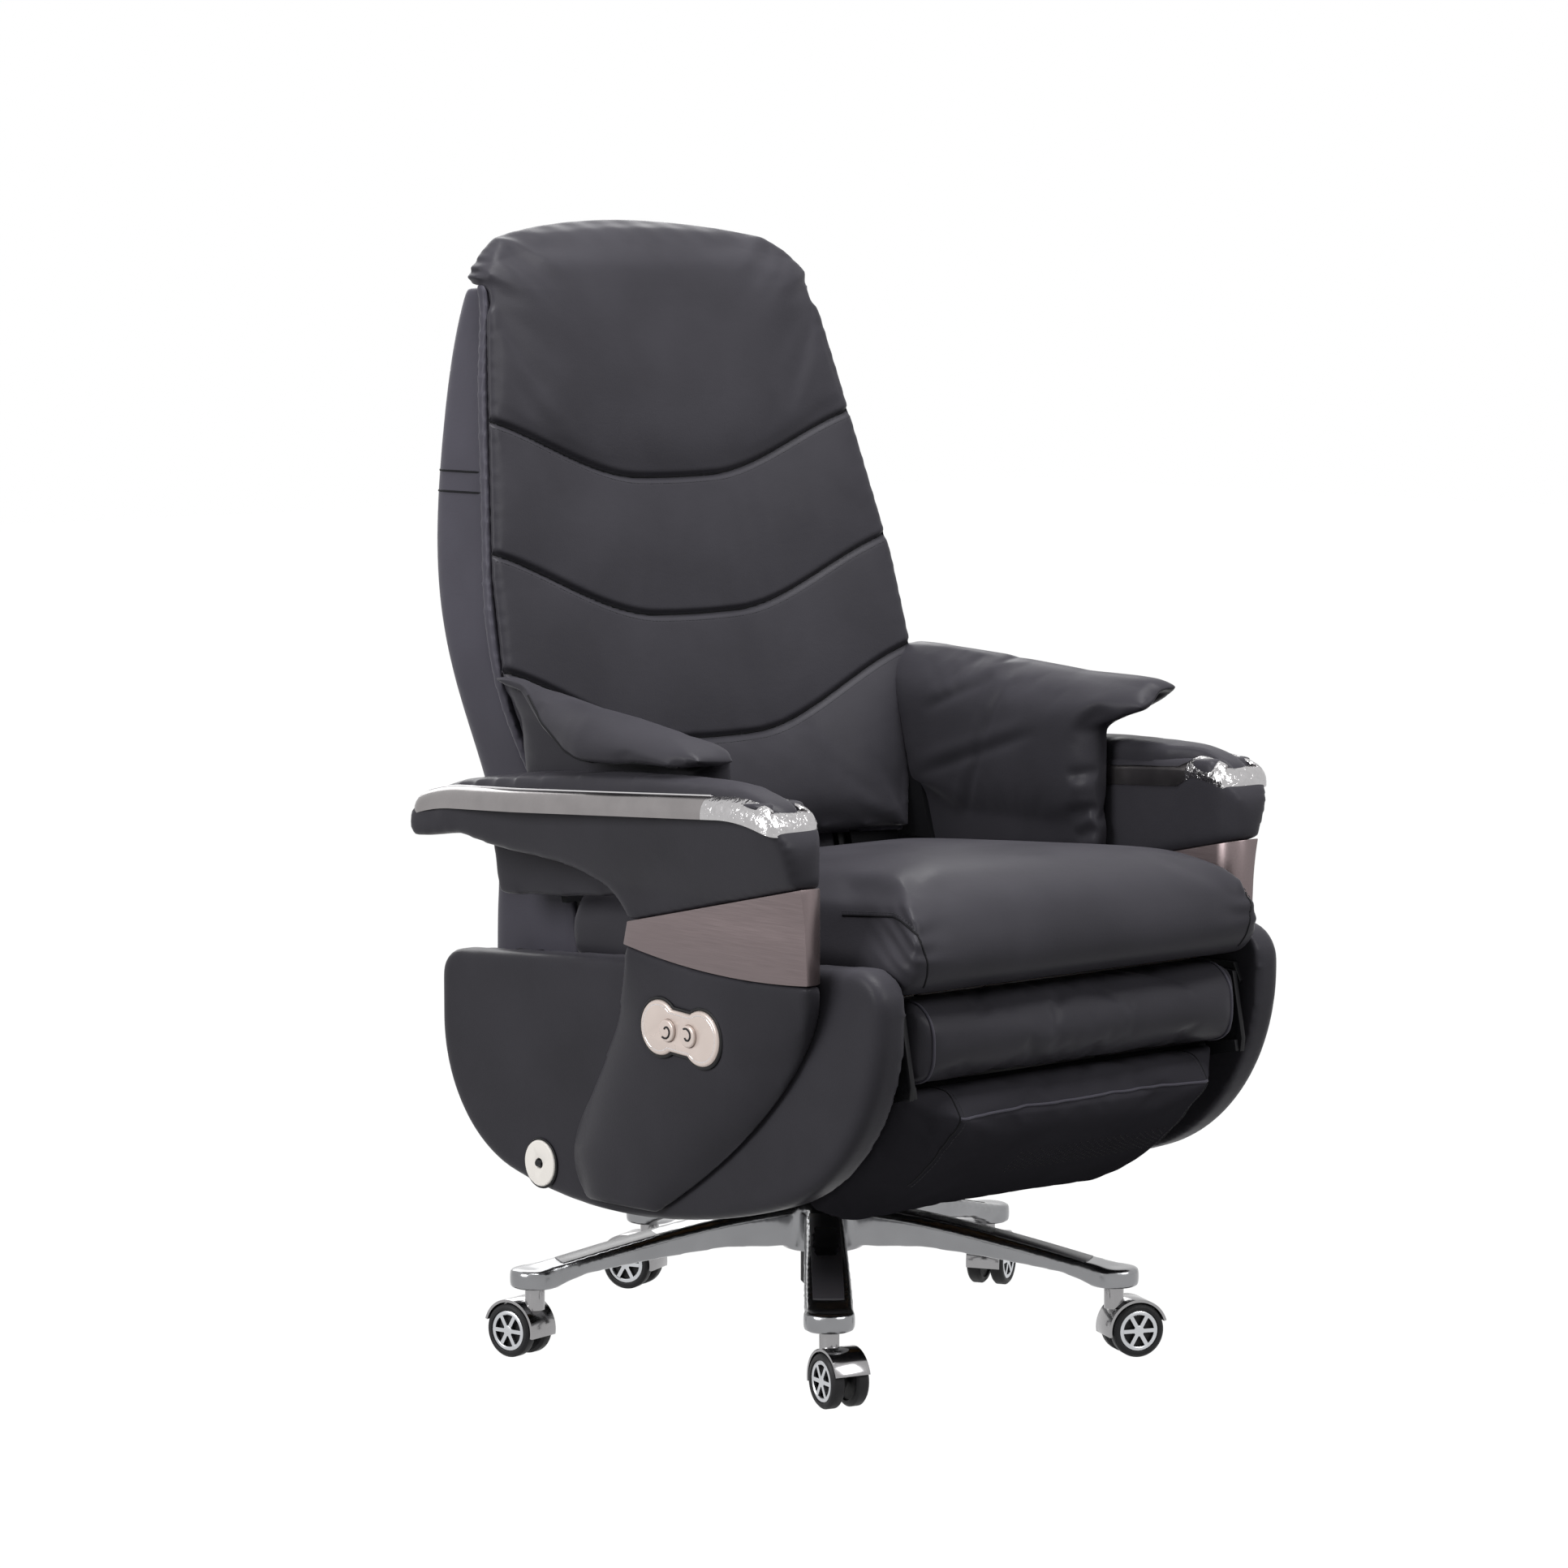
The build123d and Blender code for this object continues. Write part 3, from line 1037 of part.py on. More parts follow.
# Linear actuator: motor and tube swing on the rear beam, and the rod drives the footrest's crank
REACH = hypot(CRANK_Y - ACTUATOR_Y, CRANK_Z - ACTUATOR_Z)
PUSH = Vector(0, (CRANK_Y - ACTUATOR_Y) / REACH, (CRANK_Z - ACTUATOR_Z) / REACH)
PIVOT = Vector(0, ACTUATOR_Y, ACTUATOR_Z)
ROD_HIDDEN = 130.0
MOTOR_START = 44.0
MOTOR_LENGTH = 62.0
MOTOR_HALF = 22.0
MOTOR_DROP = 50.0

with BuildPart() as actuator_body:
    rod_between(PIVOT + PUSH * 14, PIVOT + PUSH * ACTUATOR_TUBE_LENGTH, ACTUATOR_TUBE_R)
    with BuildSketch(Plane.YZ.offset(-EYE_HALF)):
        with Locations((ACTUATOR_Y, ACTUATOR_Z)):
            Circle(ACTUATOR_TUBE_R - 4)
    extrude(amount=2 * EYE_HALF)
    rod_between(PIVOT + PUSH * 4, PIVOT + PUSH * 20, EYE_HALF - 1)
    with BuildSketch(Plane.YZ.offset(-EYE_HALF - LUG_GAP - LUG_T)):
        with Locations((ACTUATOR_Y, ACTUATOR_Z)):
            Circle(ACTUATOR_PIN_R)
    extrude(amount=2 * (EYE_HALF + LUG_GAP + LUG_T))
    with BuildSketch(Plane(origin=PIVOT + PUSH * MOTOR_START, x_dir=(1, 0, 0), z_dir=PUSH)):
        with Locations((0, MOTOR_DROP / 2)):
            RectangleRounded(2 * MOTOR_HALF, MOTOR_DROP + 2 * ACTUATOR_TUBE_R, 9)
    extrude(amount=MOTOR_LENGTH)
    with BuildSketch(Plane(origin=PIVOT + PUSH * (ACTUATOR_TUBE_LENGTH - ROD_HIDDEN - 4), z_dir=PUSH)):
        Circle(ACTUATOR_ROD_R + RUNNING_FIT)
    extrude(amount=ROD_HIDDEN + 4, mode=Mode.SUBTRACT)
write(actuator_body, "actuator_body")

with BuildPart() as actuator_rod:
    rod_end = PIVOT + PUSH * (REACH - CRANK_PLAY)
    rod_between(PIVOT + PUSH * (ACTUATOR_TUBE_LENGTH - ROD_HIDDEN), rod_end - PUSH * 4, ACTUATOR_ROD_R)
    with BuildSketch(Plane.YZ.offset(-EYE_HALF)):
        with Locations((rod_end.Y, rod_end.Z)):
            Circle(CRANK_R)
            Circle(ACTUATOR_PIN_R, mode=Mode.SUBTRACT)
    extrude(amount=2 * EYE_HALF)
write(actuator_rod, "actuator_rod")

# Control box on the rear beam, beside the actuator
BOX_SIZE = (110.0, 70.0, 44.0)
with BuildPart() as control_box:
    with BuildSketch(Plane.XY.offset(BEAM_TOP)):
        with Locations((-150, BEAM_OFFSET)):
            RectangleRounded(BOX_SIZE[0], BOX_SIZE[1], 8)
    extrude(amount=BOX_SIZE[2])
    fillet(control_box.edges().group_by(Axis.Z)[-1], radius=4)
write(control_box, "control_box")
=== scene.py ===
"""Looks of a powered reclining office chair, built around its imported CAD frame.

The chair stands on the floor at z = 0, the sitter faces -Y and the sitter's left is +X.
Sizes are in metres. Soft pieces are swollen by cloth simulation from their CAD solids,
leather-wrapped shells are rounded copies, and metal pieces are merged, bevelled copies.
"""

from __future__ import annotations

import logging
import math
from collections.abc import Callable, Sequence
from dataclasses import dataclass, field
from enum import Enum

import bmesh
import bpy
import numpy as np
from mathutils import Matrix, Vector
from mathutils.bvhtree import BVHTree


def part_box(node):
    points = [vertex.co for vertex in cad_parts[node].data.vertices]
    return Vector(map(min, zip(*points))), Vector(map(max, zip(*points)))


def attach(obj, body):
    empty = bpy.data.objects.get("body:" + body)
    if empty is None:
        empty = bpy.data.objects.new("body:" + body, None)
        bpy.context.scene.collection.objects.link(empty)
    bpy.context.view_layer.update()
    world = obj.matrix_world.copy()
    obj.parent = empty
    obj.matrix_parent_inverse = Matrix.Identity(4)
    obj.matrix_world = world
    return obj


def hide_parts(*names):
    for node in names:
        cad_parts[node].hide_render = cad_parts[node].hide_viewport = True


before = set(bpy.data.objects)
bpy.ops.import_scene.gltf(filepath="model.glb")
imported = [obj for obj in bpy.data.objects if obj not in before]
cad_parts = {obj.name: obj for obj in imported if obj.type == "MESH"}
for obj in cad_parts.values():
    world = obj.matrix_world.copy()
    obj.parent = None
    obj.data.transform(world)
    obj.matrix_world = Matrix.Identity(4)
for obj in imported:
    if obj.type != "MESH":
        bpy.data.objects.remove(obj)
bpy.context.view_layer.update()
LOG = logging.getLogger("chair")
MM = 0.001
SWITCH_MIDDLE = (-0.145, 0.400)

Point = tuple[float, float, float]
Colour = tuple[float, float, float]


class Side(Enum):
    """The two sides of the chair, as the sitter names them."""

    LEFT = 1
    RIGHT = -1

    @property
    def word(self) -> str:
        """The side's name as the CAD nodes spell it."""
        return self.name.lower()


class Grain(Enum):
    """The kinds of relief that a finish can carry."""

    HIDE = "hide"
    BRUSHED = "brushed"
    HAMMERED = "hammered"
    POLISHED = "polished"
    MOULDED = "moulded"
    RUBBER = "rubber"
    PLY = "ply"


class Wiring:
    """A node tree with short ways to add nodes and to join them."""

    tree: bpy.types.NodeTree

    def add(self, kind: str, **values: object) -> bpy.types.Node:
        """Adds a node and sets its input sockets.

        Args:
            kind: The node's type.
            **values: Socket values by name, with _ for a space.

        Returns:
            The new node.
        """
        node = self.tree.nodes.new(kind)
        for name, value in values.items():
            node.inputs[name.replace("_", " ")].default_value = value
        return node

    def link(self, source: bpy.types.Node, output: str, target: bpy.types.Node, socket: str) -> None:
        """Joins one node's output to another node's input."""
        self.tree.links.new(source.outputs[output], target.inputs[socket])


class NodeSheet(Wiring):
    """The node tree of one material, with a principled shader in it."""

    def __init__(self, material: bpy.types.Material) -> None:
        """Clears the material's tree and sets its shader and output.

        Args:
            material: The material to fill.
        """
        material.use_nodes = True
        self.tree = material.node_tree
        self.tree.nodes.clear()
        self.shader = self.add("ShaderNodeBsdfPrincipled")
        output = self.add("ShaderNodeOutputMaterial")
        self.link(self.shader, "BSDF", output, "Surface")
        self.coords = self.add("ShaderNodeTexCoord")

    def placed(self, stretch: Point) -> bpy.types.Node:
        """Gives the piece's own coordinates, stretched along its axes.

        Args:
            stretch: The scale on each axis.

        Returns:
            A Mapping node.
        """
        mapping = self.add("ShaderNodeMapping", Scale=stretch)
        self.link(self.coords, "Object", mapping, "Vector")
        return mapping

    def noise(self, stretch: Point, scale: float, detail: float = 3.0, twist: float = 0.0) -> bpy.types.Node:
        """Adds a noise texture on the piece's own coordinates.

        Args:
            stretch: The scale on each axis.
            scale: The noise's own scale, in features a metre.
            detail: The count of octaves.
            twist: The distortion.

        Returns:
            The noise node.
        """
        node = self.add("ShaderNodeTexNoise", Scale=scale, Detail=detail, Distortion=twist)
        self.link(self.placed(stretch), "Vector", node, "Vector")
        return node

    def cells(self, scale: float) -> bpy.types.Node:
        """Adds a Voronoi texture of rounded cells on the piece's own coordinates."""
        node = self.add("ShaderNodeTexVoronoi", Scale=scale)
        node.feature = "SMOOTH_F1"
        self.link(self.coords, "Object", node, "Vector")
        return node

    def spread(self, source: bpy.types.Node, output: str, low: float, high: float) -> bpy.types.Node:
        """Maps a texture's middle range to a range of values.

        Args:
            source: The texture.
            output: The texture's output socket.
            low: The value at 0.3.
            high: The value at 0.7.

        Returns:
            A Map Range node.
        """
        node = self.add("ShaderNodeMapRange")
        for socket, value in (("From Min", 0.3), ("From Max", 0.7), ("To Min", low), ("To Max", high)):
            node.inputs[socket].default_value = value
        self.link(source, output, node, "Value")
        return node

    def tint(self, factor: bpy.types.Node, output: str, dark: Colour, light: Colour) -> None:
        """Varies the base colour between two colours.

        Args:
            factor: The node that mixes them.
            output: That node's output socket.
            dark: The colour at 0.
            light: The colour at 1.
        """
        ramp = self.add("ShaderNodeValToRGB")
        ramp.color_ramp.elements[0].position = 0.3
        ramp.color_ramp.elements[0].color = (*dark, 1.0)
        ramp.color_ramp.elements[1].position = 0.7
        ramp.color_ramp.elements[1].color = (*light, 1.0)
        self.link(factor, output, ramp, "Fac")
        self.link(ramp, "Color", self.shader, "Base Color")

    def relief(self, heights: Sequence[tuple[bpy.types.Node, str, float, float]]) -> None:
        """Stacks bump nodes on the shader's normal.

        Args:
            heights: For each layer its texture, the output socket, the strength and the depth in metres.
        """
        last = None
        for texture, output, strength, depth in heights:
            bump = self.add("ShaderNodeBump", Strength=strength, Distance=depth)
            self.link(texture, output, bump, "Height")
            if last:
                self.link(last, "Normal", bump, "Normal")
            last = bump
        self.link(last, "Normal", self.shader, "Normal")


@dataclass(frozen=True)
class Finish:
    """One surface finish: a slot of the record, its colour, gloss and relief."""

    slot: str
    grain: Grain
    colour: Colour
    roughness: float
    metallic: float = 0.0
    shade: float = 0.12
    coat: float = 0.0
    specular: float = 0.5
    sheen: float = 0.0

    def material(self) -> bpy.types.Material:
        """Builds the finish's material.

        Returns:
            The new material, named for the finish's slot.
        """
        material = bpy.data.materials.new(self.slot)
        sheet = NodeSheet(material)
        values = {
            "Metallic": self.metallic,
            "Roughness": self.roughness,
            "Coat Weight": self.coat,
            "Coat Roughness": 0.12,
            "Specular IOR Level": self.specular,
            "Sheen Weight": self.sheen,
            "Sheen Tint": (0.90, 0.87, 1.0, 1.0),
        }
        for socket, value in values.items():
            sheet.shader.inputs[socket].default_value = value
        {
            Grain.HIDE: self._hide,
            Grain.BRUSHED: self._brushed,
            Grain.HAMMERED: self._hammered,
            Grain.POLISHED: self._polished,
            Grain.MOULDED: self._moulded,
            Grain.RUBBER: self._rubber,
            Grain.PLY: self._ply,
        }[self.grain](sheet)
        return material

    def _between(self) -> tuple[Colour, Colour]:
        """The finish's darker and lighter shades."""
        dark = tuple(c * (1 - self.shade) for c in self.colour)
        light = tuple(min(1.0, c * (1 + self.shade)) for c in self.colour)
        return dark, light

    def _vary(self, sheet: NodeSheet, texture: bpy.types.Node, output: str, change: float) -> None:
        """Varies the colour and the roughness with one texture."""
        sheet.tint(texture, output, *self._between())
        rough = sheet.spread(texture, output, self.roughness - change, self.roughness + change)
        sheet.link(rough, "Result", sheet.shader, "Roughness")

    def _hide(self, sheet: NodeSheet) -> None:
        """Leather: pebbled pores, fine creases and cloudy dye."""
        cloud = sheet.noise((1, 1, 1), 9.0, 4.0, 0.3)
        self._vary(sheet, cloud, "Fac", 0.05)
        pores = sheet.cells(620.0)
        fine = sheet.noise((1, 1, 1), 1500.0, 2.0)
        creases = sheet.noise((1, 1, 2.2), 46.0, 5.0, 0.9)
        sheet.relief([
            (creases, "Fac", 0.12, 1.2 * MM),
            (pores, "Distance", 0.22, 0.25 * MM),
            (fine, "Fac", 0.15, 0.10 * MM),
        ])

    def _brushed(self, sheet: NodeSheet) -> None:
        """Metal brushed lengthwise along Y."""
        lines = sheet.noise((160, 2.5, 160), 9.0, 3.0)
        self._vary(sheet, lines, "Fac", 0.07)
        sheet.relief([(lines, "Fac", 0.18, 0.12 * MM)])

    def _hammered(self, sheet: NodeSheet) -> None:
        """Bright metal with small crumpled facets."""
        facets = sheet.noise((1, 1, 1), 150.0, 2.0, 0.8)
        self._vary(sheet, facets, "Fac", 0.03)
        sheet.relief([(facets, "Fac", 0.55, 2.2 * MM)])

    def _polished(self, sheet: NodeSheet) -> None:
        """Polished metal with faint haze."""
        haze = sheet.noise((1, 1, 1), 24.0, 4.0)
        self._vary(sheet, haze, "Fac", 0.03)
        wave = sheet.noise((1, 1, 1), 60.0, 2.0)
        sheet.relief([(wave, "Fac", 0.04, 0.4 * MM)])

    def _moulded(self, sheet: NodeSheet) -> None:
        """Moulded plastic with a fine spark texture."""
        spark = sheet.noise((1, 1, 1), 900.0, 2.0)
        cloud = sheet.noise((1, 1, 1), 14.0, 3.0)
        self._vary(sheet, cloud, "Fac", 0.05)
        sheet.relief([(spark, "Fac", 0.12, 0.15 * MM)])

    def _rubber(self, sheet: NodeSheet) -> None:
        """Tyre tread with dusty scuffs."""
        scuff = sheet.noise((1, 1, 1), 70.0, 5.0, 0.5)
        self._vary(sheet, scuff, "Fac", 0.10)
        sheet.relief([(scuff, "Fac", 0.15, 0.3 * MM)])

    def _ply(self, sheet: NodeSheet) -> None:
        """Plywood with long grain along X."""
        rings = sheet.noise((4, 60, 60), 2.0, 4.0, 0.6)
        self._vary(sheet, rings, "Fac", 0.08)
        sheet.relief([(rings, "Fac", 0.2, 0.3 * MM)])


def hide(colour: Colour, roughness: float, specular: float, sheen: float = 0.0) -> Finish:
    """A leather or thread finish of the record's one leather slot."""
    return Finish("leather_charcoal", Grain.HIDE, colour, roughness,
                  shade=0.10, specular=specular, sheen=sheen)


CHARCOAL: Colour = (0.0262, 0.0252, 0.0298)
LEATHER = hide(CHARCOAL, 0.38, 0.06, 0.03)
# Painted highlight: a lighter, glossier copy of the charcoal leather for the rear shell, the board edge and
# the piping.
PAINTED_HIGHLIGHT_LEATHER = hide((0.044, 0.042, 0.053), 0.42, 0.08, 0.05)
SHADED_LEATHER = hide(CHARCOAL, 0.5, 0.0)
# Near black: the seams, welts and perforations, and also the painted shade slabs under the back cushion's
# sides and the wing flaps.
SEAM_AND_SHADE_LEATHER = hide((0.005, 0.005, 0.006), 0.6, 0.08)
THREAD = hide((0.020, 0.020, 0.023), 0.6, 0.15)
PLYWOOD = Finish("plywood", Grain.PLY, (0.43, 0.25, 0.11), 0.5)
BLACK_STEEL = Finish("steel_black", Grain.MOULDED, (0.005, 0.005, 0.006), 0.5, specular=0.15)
POLISHED_ALUMINIUM = Finish("aluminium_polished", Grain.POLISHED, (0.25, 0.252, 0.26), 0.22, 1.0, 0.06)
GLOSS_INLAY = Finish("inlay_black", Grain.MOULDED, (0.024, 0.023, 0.027), 0.34)
CHROME = Finish("chrome_bright", Grain.POLISHED, (0.30, 0.295, 0.30), 0.14, 1.0, 0.04)
TRIM_STEEL = Finish("chrome_bright", Grain.POLISHED, (0.26, 0.245, 0.245), 0.22, 1.0, 0.06)
# Bright chrome: the switch ring, and the painted highlight line along the arm trim's top edge.
BRIGHT_CHROME_AND_HIGHLIGHT = Finish("chrome_bright", Grain.POLISHED, (0.62, 0.61, 0.62), 0.10, 1.0, 0.03)
HAMMERED_CHROME = Finish("chrome_bright", Grain.HAMMERED, (0.46, 0.45, 0.455), 0.16, 1.0, 0.05)
TYRE = Finish("tyre_black", Grain.RUBBER, (0.007, 0.007, 0.008), 0.55, specular=0.25)
WHEEL_SILVER = Finish("wheel_silver", Grain.POLISHED, (0.52, 0.53, 0.55), 0.28, 1.0, 0.06)
ROSE_BAND = Finish("band_metal", Grain.BRUSHED, (0.165, 0.132, 0.134), 0.36, 0.85, 0.08)
CHAMPAGNE = Finish("switch_champagne", Grain.MOULDED, (0.56, 0.48, 0.44), 0.30, 0.35, 0.04)
WHITE_MOULDING = Finish("socket_white", Grain.MOULDED, (0.70, 0.67, 0.63), 0.45, shade=0.03)
# Black plastic; also the painted shade ring in the recess round the switch and the painted shadow line round
# the socket.
BLACK_MOULDING_AND_SHADE = Finish("plastic_black", Grain.MOULDED, (0.006, 0.006, 0.007), 0.5, specular=0.2)


class FinishShelf:
    """Makes each finish's material once and hands it out."""

    def __init__(self) -> None:
        """Starts with no materials."""
        self._made: dict[Finish, bpy.types.Material] = {}

    def take(self, finish: Finish) -> bpy.types.Material:
        """Gives the finish's material, made on first use."""
        if finish not in self._made:
            self._made[finish] = finish.material()
        return self._made[finish]


SHELF = FinishShelf()


def new_piece(name: str, mesh: bpy.types.Mesh) -> bpy.types.Object:
    """Links a mesh to the scene as a new object at the origin.

    Args:
        name: The object's name.
        mesh: Its mesh.

    Returns:
        The new object.
    """
    piece = bpy.data.objects.new(name, mesh)
    bpy.context.scene.collection.objects.link(piece)
    return piece


def piece_of(form: bmesh.types.BMesh, name: str) -> bpy.types.Object:
    """Turns a closed form's faces outwards and makes it a piece.

    Args:
        form: The form, which is freed.
        name: The piece's name.

    Returns:
        The new piece.
    """
    bmesh.ops.recalc_face_normals(form, faces=form.faces)
    mesh = bpy.data.meshes.new(name)
    form.to_mesh(mesh)
    form.free()
    return new_piece(name, mesh)


def merged_copy(node: str, name: str) -> bpy.types.Object:
    """Copies a CAD node's mesh and merges its loose triangles.

    Args:
        node: The CAD node.
        name: The copy's name.

    Returns:
        The copy, closed and free of materials.
    """
    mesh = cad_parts[node].data.copy()
    mesh.name = name
    mesh.materials.clear()
    form = bmesh.new()
    form.from_mesh(mesh)
    bmesh.ops.remove_doubles(form, verts=form.verts, dist=0.02 * MM)
    bmesh.ops.dissolve_degenerate(form, edges=form.edges, dist=0.01 * MM)
    form.to_mesh(mesh)
    form.free()
    if mesh.has_custom_normals:
        mesh.normals_split_custom_set([(0.0, 0.0, 0.0)] * len(mesh.loops))
    return new_piece(name, mesh)


def settle(piece: bpy.types.Object) -> None:
    """Applies a piece's modifiers to its mesh and removes them."""
    graph = bpy.context.evaluated_depsgraph_get()
    graph.update()
    mesh = bpy.data.meshes.new_from_object(piece.evaluated_get(graph), depsgraph=graph)
    old = piece.data
    piece.modifiers.clear()
    piece.data = mesh
    mesh.name = piece.name
    bpy.data.meshes.remove(old)


def remesh(piece: bpy.types.Object, voxel: float) -> None:
    """Rebuilds a piece as an even skin of small quads."""
    modifier = piece.modifiers.new("Voxels", "REMESH")
    modifier.mode = "VOXEL"
    modifier.voxel_size = voxel
    settle(piece)


def relax(piece: bpy.types.Object, rounds: int, factor: float = 0.5) -> None:
    """Smooths a piece by moving each point towards its neighbours."""
    modifier = piece.modifiers.new("Relax", "SMOOTH")
    modifier.iterations = rounds
    modifier.factor = factor
    settle(piece)


def divide(piece: bpy.types.Object) -> None:
    """Subdivides a piece once."""
    modifier = piece.modifiers.new("Divide", "SUBSURF")
    modifier.levels = 1
    modifier.render_levels = 1
    settle(piece)


def points_of(piece: bpy.types.Object) -> np.ndarray:
    """Gives a piece's points as an N x 3 array."""
    flat = np.empty(len(piece.data.vertices) * 3)
    piece.data.vertices.foreach_get("co", flat)
    return flat.reshape(-1, 3)


def normals_of(piece: bpy.types.Object) -> np.ndarray:
    """Gives a piece's point normals as an N x 3 array."""
    flat = np.empty(len(piece.data.vertices) * 3)
    piece.data.vertex_normals.foreach_get("vector", flat)
    return flat.reshape(-1, 3)


def place_points(piece: bpy.types.Object, points: np.ndarray) -> None:
    """Writes points back to a piece's mesh."""
    piece.data.vertices.foreach_set("co", np.ascontiguousarray(points).ravel())
    piece.data.update()


def shade(piece: bpy.types.Object, crease: float = 180.0) -> None:
    """Shades a piece smooth, with sharp edges beyond a crease angle in degrees."""
    form = bmesh.new()
    form.from_mesh(piece.data)
    for face in form.faces:
        face.smooth = True
    limit = math.radians(crease)
    for edge in form.edges:
        edge.smooth = not edge.is_manifold or edge.calc_face_angle(0.0) < limit
    form.to_mesh(piece.data)
    form.free()


def dress(piece: bpy.types.Object, finish: Finish, body: str, *nodes: str) -> bpy.types.Object:
    """Gives a piece its finish, its body and the CAD nodes that it stands for.

    Args:
        piece: The finished piece.
        finish: Its finish.
        body: The body that it rides on.
        *nodes: The CAD nodes that it replaces.

    Returns:
        The same piece.
    """
    piece.data.materials.clear()
    piece.data.materials.append(SHELF.take(finish))
    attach(piece, body)
    if nodes:
        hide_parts(*nodes)
    LOG.info("%s: %d faces on %s", piece.name, len(piece.data.polygons), body)
    return piece


def tube(name: str, path: Sequence[Vector], radius: float, sides: int = 8,
         closed: bool = False) -> bpy.types.Object:
    """Sweeps a round section along a path.

    Args:
        name: The piece's name.
        path: The points that the tube's middle line follows.
        radius: The tube's radius.
        sides: The section's count of sides.
        closed: Whether the path's ends meet.

    Returns:
        The tube, with its ends capped where it is open.
    """
    form = bmesh.new()
    rings = []
    count = len(path)
    guide = Vector((0, 0, 1))
    for k, middle in enumerate(path):
        before = path[(k - 1) % count] if closed or k else path[0]
        after = path[(k + 1) % count] if closed or k < count - 1 else path[-1]
        along = (after - before).normalized()
        guide = (guide - along * guide.dot(along))
        if guide.length < 1e-6:
            guide = along.orthogonal()
        guide.normalize()
        across = along.cross(guide)
        ring = []
        for s in range(sides):
            angle = 2 * math.pi * s / sides
            spoke = math.cos(angle) * guide + math.sin(angle) * across
            ring.append(form.verts.new(middle + radius * spoke))
        rings.append(ring)
    spans = count if closed else count - 1
    for k in range(spans):
        a, b = rings[k], rings[(k + 1) % count]
        for s in range(sides):
            t = (s + 1) % sides
            form.faces.new((a[s], a[t], b[t], b[s]))
    if not closed:
        form.faces.new(rings[0][::-1])
        form.faces.new(rings[-1])
    piece = piece_of(form, name)
    shade(piece, 60.0)
    return piece


def surface_of(piece: bpy.types.Object) -> BVHTree:
    """Builds a search tree of a piece's surface."""
    graph = bpy.context.evaluated_depsgraph_get()
    return BVHTree.FromObject(piece, graph)


def cast_path(skin: BVHTree, starts: Sequence[Point], aims: Sequence[Point],
              lift: float = 0.0) -> list[Vector]:
    """Drops points onto a surface along straight lines.

    Args:
        skin: The surface.
        starts: Where each line starts.
        aims: A point that each line runs towards.
        lift: How far off the surface the points stay.

    Returns:
        The points that were hit, in order.
    """
    path = []
    for start, aim in zip(starts, aims):
        run = (Vector(aim) - Vector(start)).normalized()
        hit = skin.ray_cast(Vector(start), run)[0]
        if hit:
            path.append(hit - run * lift)
    return path


def loop_round(skin: BVHTree, x: float, middle: tuple[float, float], turn: np.ndarray,
               lift: float) -> list[Vector]:
    """Follows a surface round a line along X.

    Args:
        skin: The surface.
        x: The place along X.
        middle: The line's Y and Z.
        turn: Angles in degrees from +Y towards +Z.
        lift: How far off the surface the points stay.

    Returns:
        The points on the surface.
    """
    angles = np.radians(turn)
    starts = [(x, middle[0] + math.cos(a), middle[1] + math.sin(a)) for a in angles]
    return cast_path(skin, starts, [(x, *middle)] * len(starts), lift)


class Repeater(Wiring):
    """A Geometry Nodes tree with named inputs that repeats one small form."""

    def __init__(self, name: str, inputs: Sequence[tuple[str, str]]) -> None:
        """Starts the tree with its sockets.

        Args:
            name: The tree's name.
            inputs: Each input's name and socket type.
        """
        self.tree = bpy.data.node_groups.new(name, "GeometryNodeTree")
        self.sockets: dict[str, str] = {}
        for label, kind in (("Geometry", "NodeSocketGeometry"), *inputs):
            socket = self.tree.interface.new_socket(label, in_out="INPUT", socket_type=kind)
            self.sockets[label] = socket.identifier
        self.tree.interface.new_socket("Geometry", in_out="OUTPUT", socket_type="NodeSocketGeometry")
        self.entry = self.add("NodeGroupInput")
        self.leave = self.add("NodeGroupOutput")

    def close(self, forms: bpy.types.Node, output: str) -> None:
        """Realizes the instances, gives them the material and ends the tree."""
        real = self.add("GeometryNodeRealizeInstances")
        paint = self.add("GeometryNodeSetMaterial")
        self.link(forms, output, real, "Geometry")
        self.link(real, "Geometry", paint, "Geometry")
        self.link(self.entry, "Material", paint, "Material")
        self.link(paint, "Geometry", self.leave, "Geometry")

    def run(self, piece: bpy.types.Object, **values: object) -> bpy.types.Object:
        """Applies the tree to a piece.

        Args:
            piece: The piece whose mesh the tree repeats on.
            **values: The inputs by name, with _ for a space.

        Returns:
            The same piece with the repeated forms as its mesh.
        """
        modifier = piece.modifiers.new(self.tree.name, "NODES")
        modifier.node_group = self.tree
        for name, value in values.items():
            modifier[self.sockets[name.replace("_", " ")]] = value
        settle(piece)
        return piece


